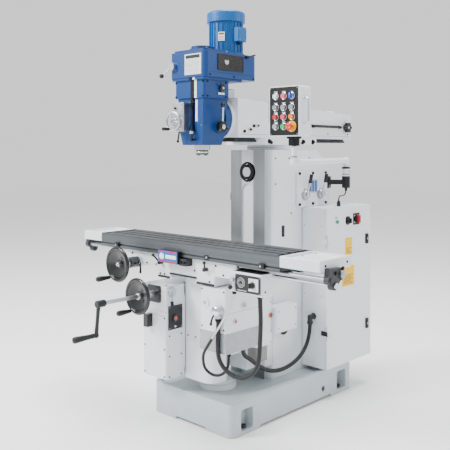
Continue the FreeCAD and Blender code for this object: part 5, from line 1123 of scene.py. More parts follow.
        part.turned([(0.012, 0), (0.0285, 0), (0.031, 0.002), (0.031, 0.010), (0.0285, 0.012), (0.012, 0.012)],
                    (0.1185, hub.y, hub.z), (1, 0, 0), mat("black_gloss"), 48)
        part.turned([(0, 0), (0.013, 0), (0.013, 0.0045), (0.010, 0.0070), (0, 0.0078)], (0.1302, hub.y, hub.z),
                    (1, 0, 0), mat("chrome"), 32)
        for angle in (-19, 221):
            a = math.radians(angle)
            foot = Vector((0.124, hub.y, hub.z)) + Vector((0, math.cos(a), math.sin(a))) * 0.026
            tip = foot + Vector((0.004, math.cos(a) * 0.012, math.sin(a) * 0.012))
            part.rod(foot, tip, 0.008, mat("black_gloss"))
        part.done("quill_lever")
        nose = Piece("spindle_nose_ring")
        pin = joint_place("spindle_spin")
        nose.turned([(0.0352, 0), (0.0358, 0.001), (0.0358, 0.007), (0.0352, 0.008)], (pin.x, pin.y, 1.4835),
                    (0, 0, 1), mat("chrome"), 48)
        for s in (-1, 1):
            nose.screw((pin.x + 0.025 * s * 0.7, pin.y + 0.018 * s, 1.4742), (0, 0, -1), 0.004, steel, dark,
                       0.002)
        nose.done("spindle")
        return {"FINISHED"}


# ---- control box ---------------------------------------------------------------------
class MILL_OT_control_box(bpy.types.Operator):
    """Add the bezels, plates, screws and stop ring of the control box"""
    bl_idname = "mill.control_box"
    bl_label = "Control box fittings"

    def execute(self, context):
        rotary = joint_place("pendant_rotary_turn")
        face = rotary.y
        x0, z1 = rotary.x - 0.154, rotary.z + 0.053
        part = Piece("control_bezels")
        columns = (x0 + 0.046, x0 + 0.100, x0 + 0.154)
        rows = (rotary.z, rotary.z - 0.060, rotary.z - 0.110, rotary.z - 0.161)
        for n, z in enumerate(rows):
            for k, x in enumerate(columns):
                if n == 3 and k == 2:
                    continue
                part.torus((x, face - 0.0008, z), (0, 1, 0), 0.0172, 0.0022, mat("chrome"), 40, 8, 0.8)
                part.slab((x - 0.011, face - 0.0009, z + 0.0212), (x + 0.011, face - 0.0001, z + 0.0262), 1,
                          0.001, mat("white_plate" if k != 2 or n else "ink_blue"), 0.0002)
                part.block((x - 0.008, face - 0.0011, z + 0.0229), (x + 0.006, face - 0.0008, z + 0.0244),
                           mat("ink"), 0.0)
        estop = Vector((columns[2], face, rows[3]))
        part.turned([(0.010, 0), (0.0285, 0), (0.0295, 0.0006), (0.0295, 0.0018), (0.010, 0.0022)], estop,
                    (0, -1, 0), mat("estop_yellow"), 56)
        part.screws(grid((x0 + 0.012, x0 + 0.190), face, (z1 - 0.012, z1 - 0.254)), (0, -1, 0), 0.0036,
                    mat("screw_steel"), mat("recess_shade_and_seam"), 0.002)
        for a, b in (((x0 + 0.0045, z1 - 0.0055), (x0 + 0.1975, z1 - 0.0045)),
                     ((x0 + 0.0045, z1 - 0.2615), (x0 + 0.1975, z1 - 0.2605)),
                     ((x0 + 0.0045, z1 - 0.2615), (x0 + 0.0055, z1 - 0.0045)),
                     ((x0 + 0.1965, z1 - 0.2615), (x0 + 0.1975, z1 - 0.0045))):
            part.block((a[0], face - 0.0006, a[1]), (b[0], face, b[1]), mat("satin"), 0.0001, 1)
        for x, way in ((x0, -1), (x0 + 0.202, 1)):
            for z in (z1 - 0.066, z1 - 0.196):
                part.turned([(0.004, 0), (0.0115, 0), (0.0115, 0.0015), (0.0085, 0.003), (0.004, 0.003)],
                            (x, -0.270, z), (way, 0, 0), mat("chrome"), 28)
        part.slab((x0 + 0.006, -0.2101, z1 - 0.256), (x0 + 0.196, -0.2086, z1 - 0.010), 1, 0.010, mat("enamel"),
                  0.0006)
        part.screws(grid((x0 + 0.016, x0 + 0.186), -0.2087, (z1 - 0.020, z1 - 0.246)), (0, 1, 0), 0.004,
                    mat("screw_steel"), mat("recess_shade_and_seam"), 0.002)
        part.done("pendant")
        knob = Piece("rotary_pointer")
        knob.block((rotary.x - 0.0008, face - 0.0226, rotary.z + 0.002), (rotary.x + 0.0008, face - 0.0218,
                   rotary.z + 0.0145), mat("white_plate"), 0.0002)
        knob.torus((rotary.x, face - 0.0100, rotary.z), (0, 1, 0), 0.0158, 0.0008, mat("chrome"), 36, 6)
        knob.done("pendant_rotary")
        cap = Piece("stop_button_cap")
        for k in range(3):
            a = math.radians(90 + 120 * k)
            spots = arc((estop.x, face - 0.0342, estop.z), 0.0115, a - 0.5, a + 0.35, 8, (1, 0, 0), (0, 0, 1))
            cap.bent(spots, 0.0009, mat("white_plate"), 6)
        cap.done("estop_button")
        arm = Piece("pendant_arm_rings")
        post = joint_place("pendant_arm_swing")
        neck = joint_place("pendant_turn")
        for z, r in ((1.3455, 0.0246), (1.3850, 0.0272)):
            arm.torus((post.x, post.y, z), (0, 0, 1), r - 0.001, 0.0022, mat("black_grip"), 40, 8)
        along = Vector((neck.x - post.x, neck.y - post.y, 0)).normalized()
        start = Vector((post.x, post.y, 1.432))
        for share, r in ((0.030, 0.0188), ((neck - post).length - 0.030, 0.0190)):
            arm.torus(start + along * share, along, r - 0.0012, 0.0022, mat("enamel"), 40, 8)
        for z in (1.462, 1.466):
            arm.torus((neck.x, neck.y, z), (0, 0, 1), 0.0158, 0.0014, mat("black_grip"), 36, 8)
        arm.screw((post.x + 0.0225, post.y, 1.364), (1, 0, 0), 0.004, mat("screw_black"), mat("recess_shade_and_seam"), 0.003)
        arm.done("pendant_arm")
        socket = Piece("pendant_socket_rings")
        for z in (1.264, 1.326):
            socket.torus((post.x, post.y, z), (0, 0, 1), 0.0252, 0.0016, mat("black_iron"), 48, 8)
        socket.turned([(0.0045, 0), (0.010, 0), (0.009, 0.010), (0.0055, 0.022), (0.0045, 0.022)],
                      (post.x, post.y, 1.258), (0, 0, -1), mat("rubber"), 24)
        socket.turned([(0.0045, 0), (0.0105, 0), (0.0105, 0.006), (0.006, 0.014), (0.0045, 0.014)],
                      (0.292, 0.435, 1.172), (0, 0, 1), mat("rubber"), 24)
        socket.screws(grid(0.1770, 0.501, (1.265, 1.325)), (1, 0, 0), 0.006, mat("screw_steel"), mat("recess_shade_and_seam"),
                      0.004)
        socket.done("frame")
        return {"FINISHED"}


# ---- cabinet -------------------------------------------------------------------------
class MILL_OT_cabinet(bpy.types.Operator):
    """Add the blank plates, locks, gasket and switch plates of the cabinet"""
    bl_idname = "mill.cabinet"
    bl_label = "Cabinet fittings"

    def execute(self, context):
        face = joint_place("door_swing").x - 0.003
        part = Piece("door_plates")
        for y0, y1, z0, z1, bars in ((0.418, 0.496, 0.853, 0.959, 4), (0.385, 0.518, 0.663, 0.785, 7)):
            part.slab((face - 0.0001, y0, z0), (face + 0.0012, y1, z1), 0, 0.003, mat("label_yellow"), 0.0003)
            part.slab((face + 0.0011, y0 + 0.006, z0 + 0.006), (face + 0.0014, y1 - 0.006, z0 + 0.007), 0,
                      0.0004, mat("ink"), 0.0001)
            for k in range(bars):
                z = z0 + 0.014 + 0.0085 * k
                part.block((face + 0.0010, y0 + 0.014, z), (face + 0.0014, y1 - 0.014 - 0.012 * (k % 3),
                        z + 0.0030), mat("ink"), 0.0)
        selector = joint_place("door_selector_turn")
        switch = joint_place("main_switch_turn")
        for spot, size, plate in ((selector, 0.033, "white_plate"), (switch, 0.036, "black_plate")):
            for a, b, c, d in ((-size, -size, size, -0.0255), (-size, 0.0255, size, size),
                               (-size, -0.0255, -0.0255, 0.0255), (0.0255, -0.0255, size, 0.0255)):
                part.block((face - 0.0001, spot.y + a, spot.z + b), (face + 0.0022, spot.y + c, spot.z + d),
                           mat(plate), 0.0003, 1)
        part.torus((face + 0.0020, selector.y, selector.z), (1, 0, 0), 0.0268, 0.0016, mat("ink"), 48, 8)
        lamp = Vector((face, selector.y - 0.121, selector.z))
        part.torus(lamp + Vector((0.002, 0, 0)), (1, 0, 0), 0.0130, 0.0028, mat("chrome"), 40, 10)
        part.slab((face - 0.0001, lamp.y - 0.016, lamp.z + 0.022), (face + 0.0008, lamp.y + 0.016,
                lamp.z + 0.030), 0, 0.001, mat("grey_plate"), 0.0002)
        for z in (0.937, 0.395):
            part.turned([(0, 0), (0.009, 0), (0.009, 0.006), (0.007, 0.008), (0, 0.008)],
                        (face + 0.0088, 0.661, z), (1, 0, 0), mat("screw_steel"), 28)
            # dark key slot of the lock: painted shade
            part.block((face + 0.0165, 0.6600, z - 0.0065), (face + 0.0172, 0.6620, z + 0.0065), mat("recess_shade_and_seam"),
                       0.0)
        for y in (0.250, 0.690):
            for z in (0.212, 1.128):
                part.ball((face, y, z), 0.0035, mat("satin"), 0.4, (1, 0, 0))
        part.done("door")
        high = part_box("cabinet_shell")[1]
        part = Piece("cabinet_gasket")
        for a, b in (((0.2255, 0.1905), (0.7095, 0.1935)), ((0.2255, 1.1465), (0.7095, 1.1495)),
                     ((0.2255, 0.1905), (0.2285, 1.1495)), ((0.7065, 0.1905), (0.7095, 1.1495))):
            part.block((0.3340, a[0], a[1]), (0.3352, b[0], b[1]), mat("rubber"), 0.0003, 1)
        for n in range(2):
            for k in range(9):
                z = 0.30 + 0.60 * n + 0.014 * k
                part.block((0.190, 0.7100, z), (0.300, 0.7118, z + 0.006), mat("enamel"), 0.0008, 2)
                # dark strip under each slat: painted shadow
                part.block((0.192, 0.7101, z - 0.0035), (0.298, 0.7104, z - 0.0004), mat("recess_shade_and_seam"), 0.0)
        part.slab((0.182, 0.2238, 0.62), (0.323, 0.2251, 1.05), 1, 0.004, mat("enamel"), 0.0006)
        part.screws(grid((0.190, 0.315), 0.2239, (0.628, 1.042)), (0, -1, 0), 0.004, mat("screw_steel"),
                    mat("recess_shade_and_seam"), 0.002)
        part.turned([(0.013, 0), (0.0205, 0), (0.0205, 0.006), (0.0165, 0.008), (0.013, 0.008)],
                    (0.255, 0.225, 0.498), (0, -1, 0), mat("black_grip"), 6)
        part.turned([(0.0125, 0), (0.0178, 0), (0.0178, 0.014), (0.0140, 0.018), (0.0125, 0.018)],
                    (0.255, 0.187, 0.474), (0, 0, -1), mat("black_grip"), 28)
        part.screws(grid(0.250, (0.27, 0.46, 0.66), high.z - 0.0218), (0, 0, 1), 0.004, mat("screw_steel"),
                    mat("recess_shade_and_seam"), 0.002)
        part.done("frame")
        return {"FINISHED"}


# ---- table and saddle ----------------------------------------------------------------
class MILL_OT_table(bpy.types.Operator):
    """Add the stops, wipers, screws and blank plate of the table and the saddle"""
    bl_idname = "mill.table"
    bl_label = "Table and saddle fittings"

    def execute(self, context):
        r = context.scene.mill_sizes.screw_radius
        black, dark, steel = mat("screw_black"), mat("recess_shade_and_seam"), mat("screw_steel")
        apron = -0.6151    # front face of the saddle
        low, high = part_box("table_top")
        part = Piece("table_fittings")
        groove = high.z - 0.057
        for x, deep in ((-0.530, 0.012), (0.205, 0.0014), (0.585, 0.012)):
            part.slab((x - 0.016, low.y - deep, groove - 0.013), (x + 0.016, low.y + 0.0002, groove + 0.013), 1,
                      0.003, mat("black_iron"), 0.0006)
            part.turned([(0, 0), (0.0062, 0), (0.0062, deep * 0.6), (0, deep * 0.7)], (x, low.y - deep, groove),
                        (0, -1, 0), steel, 6)
        for s in (1, -1):
            for y in (low.y + 0.030, (low.y + high.y) / 2, high.y - 0.030):
                part.screw((s * 0.726, y, high.z - 0.0101), (0, 0, 1), 0.0055, steel, dark, 0.004)
        for s, x in ((1, 0.920), (-1, -0.865)):
            for y in (-0.600, -0.425):
                part.screw((x, y, 0.975), (s, 0, 0), r, black, dark, 0.003)
        # dark sheets at the ends of the T slots: painted shade in the slot mouths
        for k in range(-1, 2):
            y = (low.y + high.y) / 2 + 0.063 * k
            for s in (-1, 1):
                part.block((s * 0.6895 - 0.0006, y - 0.0078, high.z - 0.0255), (s * 0.6895 + 0.0006, y + 0.0078,
                           high.z - 0.0003), dark, 0.0)
        for z in (high.z - 0.0712, high.z - 0.0040):
            part.block((-0.689, low.y - 0.0003, z), (0.689, low.y + 0.0001, z + 0.0006), mat("ink"), 0.0)
        part.done("table")
        ring = Piece("bracket_bolts")
        for y, z in ((-0.505, 0.958), (-0.560, 0.940)):
            ring.stud(0.009, 0.007, 0.008, (0.948, y, z), (1, 0, 0), black, 6)
            ring.stud(0.009, 0.007, 0.008, (-0.893, y, z), (-1, 0, 0), black, 6)
        ring.torus((0.9480, -0.564, 0.8841), (1, 0, 0), 0.0165, 0.0022, mat("black_iron"), 40, 8)
        ring.torus((0.9480, -0.5125, 0.9301), (1, 0, 0), 0.0225, 0.0024, mat("black_iron"), 48, 8)
        ring.done("table")
        part = Piece("saddle_fittings")
        y = -0.6722
        part.slab((-0.1395, y - 0.0012, 0.890), (0.0145, y, 0.9535), 1, 0.004, mat("ink_blue"), 0.0004)
        part.block((-0.1375, y - 0.0016, 0.9455), (0.0125, y - 0.0010, 0.9510), mat("ink_red"), 0.0002, 1)
        part.block((-0.1375, y - 0.0016, 0.8925), (0.0125, y - 0.0010, 0.8980), mat("ink_red"), 0.0002, 1)
        part.slab((-0.128, y - 0.0017, 0.905), (-0.092, y - 0.0010, 0.939), 1, 0.016, mat("white_plate"),
                  0.0002)
        part.slab((-0.080, y - 0.0017, 0.912), (0.004, y - 0.0010, 0.932), 1, 0.004, mat("white_plate"), 0.0002)
        for x in (0.030, 0.058):
            part.stud(0.007, 0.006, 0.007, (x, -0.660, 0.900), (0, -1, 0), black, 24)
        part.screws(grid((-0.46, -0.30, -0.22, 0.09, 0.30, 0.37), apron, 0.858), (0, -1, 0), r * 0.9, black,
                    dark, 0.003)
        part.screws(grid((-0.185, -0.150, 0.20), apron, 0.812), (0, -1, 0), r * 0.9, black, dark, 0.003)
        for x0, x1 in ((-0.200, -0.106), (0.106, 0.235)):
            part.slab((x0, -0.6215, 0.7915), (x1, -0.6148, 0.803), 1, 0.002, mat("rubber"), 0.001)
        part.block((-0.105, -0.6200, 0.8162), (0.105, -0.6149, 0.8260), mat("rubber"), 0.001)
        part.slab((0.260, -0.6162, 0.868), (0.368, -0.6149, 0.912), 1, 0.004, mat("enamel"), 0.0005)
        wheel = joint_place("table_handwheel_turn")
        part.turned([(0.013, 0), (0.0325, 0), (0.0345, 0.002), (0.0345, 0.012), (0.0325, 0.014),
                     (0.013, 0.014)], (wheel.x, -0.6158, wheel.z), (0, -1, 0), mat("enamel"), 48)
        part.screw((wheel.x + 0.0312, -0.672, wheel.z), (1, 0, 0), 0.005, black, dark, 0.004)
        lever = [(wheel.x + 0.030, -0.640, wheel.z + 0.004), (wheel.x + 0.046, -0.646, wheel.z - 0.002),
                 (wheel.x + 0.056, -0.652, wheel.z - 0.024), (wheel.x + 0.060, -0.656, wheel.z - 0.052)]
        part.bent(lever, [0.006, 0.006, 0.0052, 0.0068], mat("black_gloss"))
        part.ball(lever[-1], 0.0075, mat("black_gloss"))
        for x in (-0.430, -0.05, 0.245):
            part.turned([(0, 0), (0.006, 0), (0.006, 0.004), (0.003, 0.007), (0, 0.0072)], (x, -0.6150, 0.900),
                        (0, -1, 0), mat("bronze"), 20)
        part.done("saddle")
        part = Piece("feed_box_dials")
        knob = joint_place("feed_selector_turn")
        y = -0.6631
        for k in range(24):
            a = math.radians(-210 + 10.4 * k)
            spot = Vector((knob.x, y - 0.0001, knob.z)) + Vector((math.cos(a), 0, math.sin(a))) * 0.0235
            part.block(spot - Vector((0.0006, 0.0003, 0.0006)), spot + Vector((0.0006, 0.0002, 0.0006)),
                       mat("ink"), 0.0)
        for r0 in (0.010, 0.017, 0.024):
            part.torus((0.463, y, 0.850), (0, 1, 0), r0, 0.0007, mat("white_plate"), 48, 6)
        part.turned([(0, 0), (0.007, 0), (0.006, 0.006), (0, 0.0065)], (0.463, y, 0.850), (0, -1, 0),
                    mat("black_gloss"), 24)
        part.screws(grid((0.4285, 0.5835), y + 0.0001, (0.8075, 0.8845)), (0, -1, 0), 0.0030, steel, dark,
                    0.0015)
        part.block((0.440, y - 0.0003, 0.8105), (0.500, y, 0.8125), mat("white_plate"), 0.0)
        for y, z in ((-0.63, 0.815), (-0.5151, 0.87245)):
            part.screw((0.5899, y, z), (1, 0, 0), 0.0045, black, dark, 0.003)
        part.slab((0.400, -0.650, 0.8988), (0.580, -0.55, 0.9002), 2, 0.006, mat("rubber"), 0.0004)
        part.done("saddle")
        return {"FINISHED"}


# ---- knee ----------------------------------------------------------------------------
class MILL_OT_knee(bpy.types.Operator):
    """Add the covers, knobs, sight glasses and screws of the knee"""
    bl_idname = "mill.knee"
    bl_label = "Knee fittings"

    def execute(self, context):
        r = context.scene.mill_sizes.screw_radius * 0.75
        black, dark, steel = mat("screw_black"), mat("recess_shade_and_seam"), mat("screw_steel")
        flank = 0.3109    # outer side of the feed box
        left, right, face, floor, top = -0.275, -0.085, -0.660, 0.245, 0.754
        part = Piece("knee_gearbox_covers")
        part.slab((left + 0.004, face - 0.0024, floor + 0.006), (right - 0.004, face + 0.0002, 0.590), 1, 0.006,
                  mat("enamel"), 0.0008)
        part.screws(grid((left + 0.013, right - 0.013), face - 0.0022, (floor + 0.016, 0.410, 0.580)),
                    (0, -1, 0), r, black, dark, 0.003)
        for a, b in (((left, 0.6135), (right, 0.6145)), ((left, 0.7225), (-0.232, 0.7235)),
                     ((-0.128, 0.7225), (right, 0.7235))):
            part.block((a[0], face - 0.0002, a[1]), (b[0], face + 0.0006, b[1]), mat("recess_shade_and_seam"), 0.0)
        part.slab((right - 0.0002, -0.648, floor + 0.004), (right + 0.0024, -0.545, 0.492), 0, 0.005,
                  mat("enamel"), 0.0008)
        part.screws(grid(right + 0.0022, (-0.640, -0.553), (floor + 0.014, 0.370, 0.482)), (1, 0, 0), r, black,
                    dark, 0.003)
        part.turned([(0.0172, 0), (0.0225, 0), (0.0235, 0.002), (0.0225, 0.006), (0.0172, 0.006)],
                    (-0.080, -0.600, 0.575), (1, 0, 0), mat("black_gloss"), 40)
        part.turned([(0, 0), (0.0130, 0), (0.0120, 0.003), (0, 0.0045)], (-0.0762, -0.600, 0.575), (1, 0, 0),
                    mat("sight_glass"), 32)
        part.turned([(0, 0), (0.007, 0), (0.006, 0.003), (0, 0.0035)], (-0.080, -0.600, 0.5300), (1, 0, 0),
                    mat("chrome"), 20)
        part.screws(grid(-0.0801, (-0.640, -0.554), (0.523, 0.637)), (1, 0, 0), 0.003, steel, dark, 0.0016)
        for z in (0.40, 0.66):
            part.screw((left, -0.60, z), (-1, 0, 0), r, black, dark, 0.003)
            part.screw((left, -0.36, z), (-1, 0, 0), r, black, dark, 0.003)
        part.block((left - 0.0002, -0.655, 0.6135), (left + 0.0004, -0.31, 0.6145), mat("recess_shade_and_seam"), 0.0)
        for x, y in ((-0.255, -0.635), (-0.115, -0.635), (-0.255, -0.34), (-0.115, -0.34)):
            part.screw((x, y, top), (0, 0, 1), r, black, dark, 0.003)
        part.done("knee")
        part = Piece("knee_body_details")
        part.screws(grid((-0.060, 0.0, 0.060), -0.5201, 0.470), (0, -1, 0), r, black, dark, 0.003)
        part.slab((-0.050, -0.5224, 0.300), (0.050, -0.5199, 0.450), 1, 0.010, mat("enamel"), 0.001)
        for x in (-0.070, 0.070):
            part.turned([(0, 0), (0.0075, 0), (0.0075, 0.004), (0.003, 0.008), (0, 0.0082)],
                        (x, -0.505, 0.8141), (0, 0, 1), mat("bronze"), 24)
        part.done("knee")
        part = Piece("knee_feed_fittings")
        face = -0.610
        knob = Vector((0.273, -0.640, 0.675))
        part.turned([(0, 0), (0.023, 0), (0.0255, 0.003), (0.0255, 0.010), (0.019, 0.016), (0, 0.018)], knob,
                    (0, -1, 0), mat("chrome"), 48)
        part.torus(knob + Vector((0, 0.018, 0)), (0, 1, 0), 0.0262, 0.0022, mat("satin"), 48, 8)
        part.bent([knob + Vector((-0.004, -0.010, -0.014)), knob + Vector((-0.010, -0.016, -0.030)),
                   knob + Vector((-0.018, -0.018, -0.050)), knob + Vector((-0.021, -0.018, -0.068))],
                  [0.0055, 0.0050, 0.0052, 0.0072], mat("black_gloss"))
        part.ball(knob + Vector((-0.021, -0.018, -0.068)), 0.0076, mat("black_gloss"))
        part.slab((0.1235, face - 0.0024, 0.4515), (0.3125, face + 0.0002, 0.555), 1, 0.002, mat("galvanised"),
                  0.0006)
        part.slab((0.3108, face - 0.0022, 0.4515), (0.3126, -0.352, 0.555), 0, 0.002, mat("galvanised"), 0.0006)
        part.screws(grid((0.136, 0.300), face - 0.0022, (0.463, 0.545)), (0, -1, 0), 0.0036, steel, dark,
                    0.0018)
        part.screws(grid(0.3124, (-0.595, -0.365), (0.463, 0.545)), (1, 0, 0), 0.0036, steel, dark, 0.0018)
        part.screws(grid((0.140, 0.298), face, (0.575, 0.770)), (0, -1, 0), r, black, dark, 0.003)
        part.turned([(0.010, 0), (0.026, 0), (0.027, 0.002), (0.027, 0.005), (0.010, 0.007)],
                    (0.166, face, 0.700), (0, -1, 0), mat("enamel"), 40)
        part.stud(0.011, 0.009, 0.010, (0.166, face, 0.700), (0, -1, 0), steel, 6)
        part.turned([(0, 0), (0.020, 0), (0.020, 0.004), (0.013, 0.007), (0, 0.0075)], (flank, -0.470, 0.680),
                    (1, 0, 0), mat("satin"), 40)
        part.turned([(0, 0.006), (0.009, 0.006), (0.009, 0.012), (0, 0.013)], (flank, -0.470, 0.680), (1, 0, 0),
                    steel, 6)
        part.turned([(0, 0), (0.015, 0), (0.015, 0.004), (0.010, 0.006), (0, 0.006)], (flank, -0.540, 0.610),
                    (1, 0, 0), mat("satin"), 32)
        part.turned([(0, 0.005), (0.009, 0.005), (0.008, 0.008), (0, 0.009)], (flank, -0.540, 0.610), (1, 0, 0),
                    mat("sight_glass"), 28)
        part.block((0.3106, -0.612, 0.6565), (0.3112, -0.350, 0.6575), mat("recess_shade_and_seam"), 0.0)
        part.done("knee")
        part = Piece("feed_motor_fittings")
        part.turned([(0.0, 0), (0.0135, 0), (0.0145, 0.002), (0.0145, 0.005), (0.010, 0.007), (0, 0.007)],
                    (0.2172, -0.140, 0.560), (1, 0, 0), mat("bronze"), 36)
        part.turned([(0, 0.0065), (0.0085, 0.0065), (0.007, 0.010), (0, 0.0115)], (0.2172, -0.140, 0.560),
                    (1, 0, 0), mat("ink_red"), 28)
        part.slab((0.2168, -0.252, 0.400), (0.2192, -0.130, 0.478), 0, 0.006, mat("enamel"), 0.0007)
        for y in (-0.244, -0.138):
            for z in (0.408, 0.470, 0.635):
                part.screw((0.2185 if z < 0.6 else 0.2170, y, z), (1, 0, 0), 0.0036, black, dark, 0.002)
        part.slab((0.2466, -0.115, 0.470), (0.2488, 0.066, 0.588), 0, 0.006, mat("enamel"), 0.0007)
        part.screws(grid(0.2486, (-0.104, 0.055), (0.481, 0.577)), (1, 0, 0), 0.0036, black, dark, 0.002)
        part.bent(arc((0.200, 0.005, 0.455), 0.028, math.radians(200), math.radians(350), 14, (0, 1, 0),
                      (0, 0, 1)), 0.0095, mat("hose_black"))
        part.done("knee")
        return {"FINISHED"}


# ---- column and base -----------------------------------------------------------------
class MILL_OT_column(bpy.types.Operator):
    """Add the plates, screws, scale, nose rings and anchors of the column and the base"""
    bl_idname = "mill.column"
    bl_label = "Column and base fittings"

    def execute(self, context):
        r = context.scene.mill_sizes.screw_radius
        black, dark, steel = mat("screw_black"), mat("recess_shade_and_seam"), mat("screw_steel")
        side = 0.165    # half width of the column
        part = Piece("gear_cover_fittings")
        x = 0.1801
        part.slab((x, 0.268, 1.236), (x + 0.0016, 0.366, 1.316), 0, 0.004, mat("grey_plate"), 0.0004)
        for a, b, c, d in ((0.276, 1.244, 0.302, 1.308), (0.309, 1.244, 0.330, 1.308),
                           (0.337, 1.244, 0.358, 1.308)):
            part.block((x + 0.0014, a, b), (x + 0.0018, c, d), mat("ink_blue"), 0.0)
        for y in (0.238, 0.396):
            part.torus((x + 0.0006, y, 1.227), (1, 0, 0), 0.0335, 0.0022, mat("satin"), 56, 8)
        part.done("frame")
        for name in ("gear_lever_front", "gear_lever_rear"):
            knob = Piece(name + "_hub")
            joint = joint_place(name + "_turn")
            knob.turned([(0, 0), (0.0105, 0), (0.0105, 0.0015), (0.008, 0.003), (0, 0.003)],
                        (0.2040, joint.y, joint.z), (1, 0, 0), mat("chrome"), 36)
            knob.torus((0.2000, joint.y, joint.z), (1, 0, 0), 0.0275, 0.0016, mat("chrome"), 56, 8)
            knob.done(name)
        part = Piece("column_fittings")
        part.slab((side, 0.028, 0.985), (0.1672, 0.054, 1.052), 0, 0.002, mat("black_plate"), 0.0004)
        part.slab((0.1672, 0.033, 1.008), (0.1690, 0.049, 1.038), 0, 0.002, mat("black_gloss"), 0.0006)
        for y, z in ((-0.03, 1.45), (0.10, 1.45), (0.30, 1.45), (-0.03, 1.30), (0.12, 1.12)):
            part.screw((side, y, z), (1, 0, 0), r * 0.8, black, dark, 0.003)
            part.screw((-side, y, z), (-1, 0, 0), r * 0.8, black, dark, 0.003)
        part.slab((-0.1672, 0.06, 0.62), (-side, 0.30, 1.02), 0, 0.010, mat("enamel"), 0.0008)
        part.screws(grid(-0.1670, (0.072, 0.288), (0.634, 0.82, 1.006)), (-1, 0, 0), r * 0.8, black, dark,
                    0.003)
        for k in range(12):
            z = 0.640 + 0.030 * k
            # dark strip below each slat: painted shadow
            part.block((-0.1678, 0.085, z), (-0.1668, 0.275, z + 0.004), mat("recess_shade_and_seam"), 0.0)
            part.block((-0.1720, 0.085, z + 0.004), (-0.1668, 0.275, z + 0.007), mat("enamel"), 0.001)
        line = [(-0.166, -0.020, 1.160), (-0.176, -0.030, 1.172), (-0.182, -0.038, 1.200),
                (-0.178, -0.036, 1.245), (-0.174, -0.030, 1.290), (-0.172, -0.018, 1.320),
                (-0.165, -0.008, 1.335)]
        line, total = smooth_line("oil_line", line, 0.006)
        part.bent(line, 0.0055, mat("hose_black"))
        part.turned([(0, 0), (0.0095, 0), (0.0095, 0.014), (0.006, 0.018), (0, 0.018)], (-0.165, -0.020, 1.155),
                    (-1, 0, 0.4), mat("ink_red"), 24)
        part.turned([(0, 0), (0.0095, 0), (0.0095, 0.012), (0.006, 0.016), (0, 0.016)], (-0.165, -0.006, 1.338),
                    (-1, -0.2, -0.2), steel, 6)
        for k in range(27):
            z = 0.60 + 0.02 * k
            part.block((0.1341, -0.0893, z), (0.1346, -0.0800 + (0.012 if k % 5 == 0 else 0.0), z + 0.0008),
                       mat("ink"), 0.0)
        part.done("frame")
        nose = joint_place("horizontal_spindle_spin")
        ring = Piece("spindle_ring")
        ring.turned([(0.0895, 0), (0.104, 0), (0.106, 0.002), (0.106, 0.004), (0.0895, 0.004)],
                    (nose.x, -0.0548, nose.z), (0, -1, 0), mat("black_iron"), 72)
        for k in range(6):
            a = math.radians(30 + 60 * k)
            ring.screw((nose.x + 0.0975 * math.cos(a), -0.0585, nose.z + 0.0975 * math.sin(a)), (0, -1, 0),
                       0.0045, steel, dark, 0.0025)
        ring.slab((-0.075, -0.066, nose.z - 0.128), (0.075, -0.0548, nose.z - 0.118), 1, 0.003, mat("enamel"),
                  0.001)
        ring.done("frame")
        ring = Piece("arbor_nose")
        for k in range(2):
            s = 1 if k else -1
            ring.block((nose.x - 0.007, -0.0995, nose.z + s * 0.0375 - 0.009), (nose.x + 0.007, -0.0975,
                       nose.z + s * 0.0375 + 0.009), mat("screw_steel"), 0.0008)
        ring.turned([(0.024, 0), (0.030, 0), (0.030, 0.001), (0.024, 0.0012)], (nose.x, -0.0981, nose.z),
                    (0, -1, 0), mat("chrome"), 48)
        ring.done("horizontal_spindle")
        part = Piece("base_fittings")
        for sx in (-1, 1):
            for y in (-0.44, 0.44):
                spot = Vector((sx * 0.279, y, 0.0221))
                part.turned([(0.0112, 0), (0.021, 0), (0.021, 0.003), (0.0112, 0.003)], spot, (0, 0, 1),
                            mat("galvanised"), 36)
                part.turned([(0.0005, 0.003), (0.0165, 0.003), (0.0165, 0.018), (0.015, 0.019),
                             (0.0005, 0.019)], spot, (0, 0, 1), mat("black_iron"), 6)
        part.turned([(0, -0.002), (0.0145, -0.002), (0.0145, 0.001), (0.010, 0.002), (0, 0.002)],
                    (0.3060, 0.250, 0.066), (1, 0, 0), mat("black_gloss"), 6)
        part.torus((0.3066, 0.250, 0.066), (1, 0, 0), 0.0172, 0.0010, mat("recess_shade_and_seam"), 36, 6)
        part.done("frame")
        return {"FINISHED"}


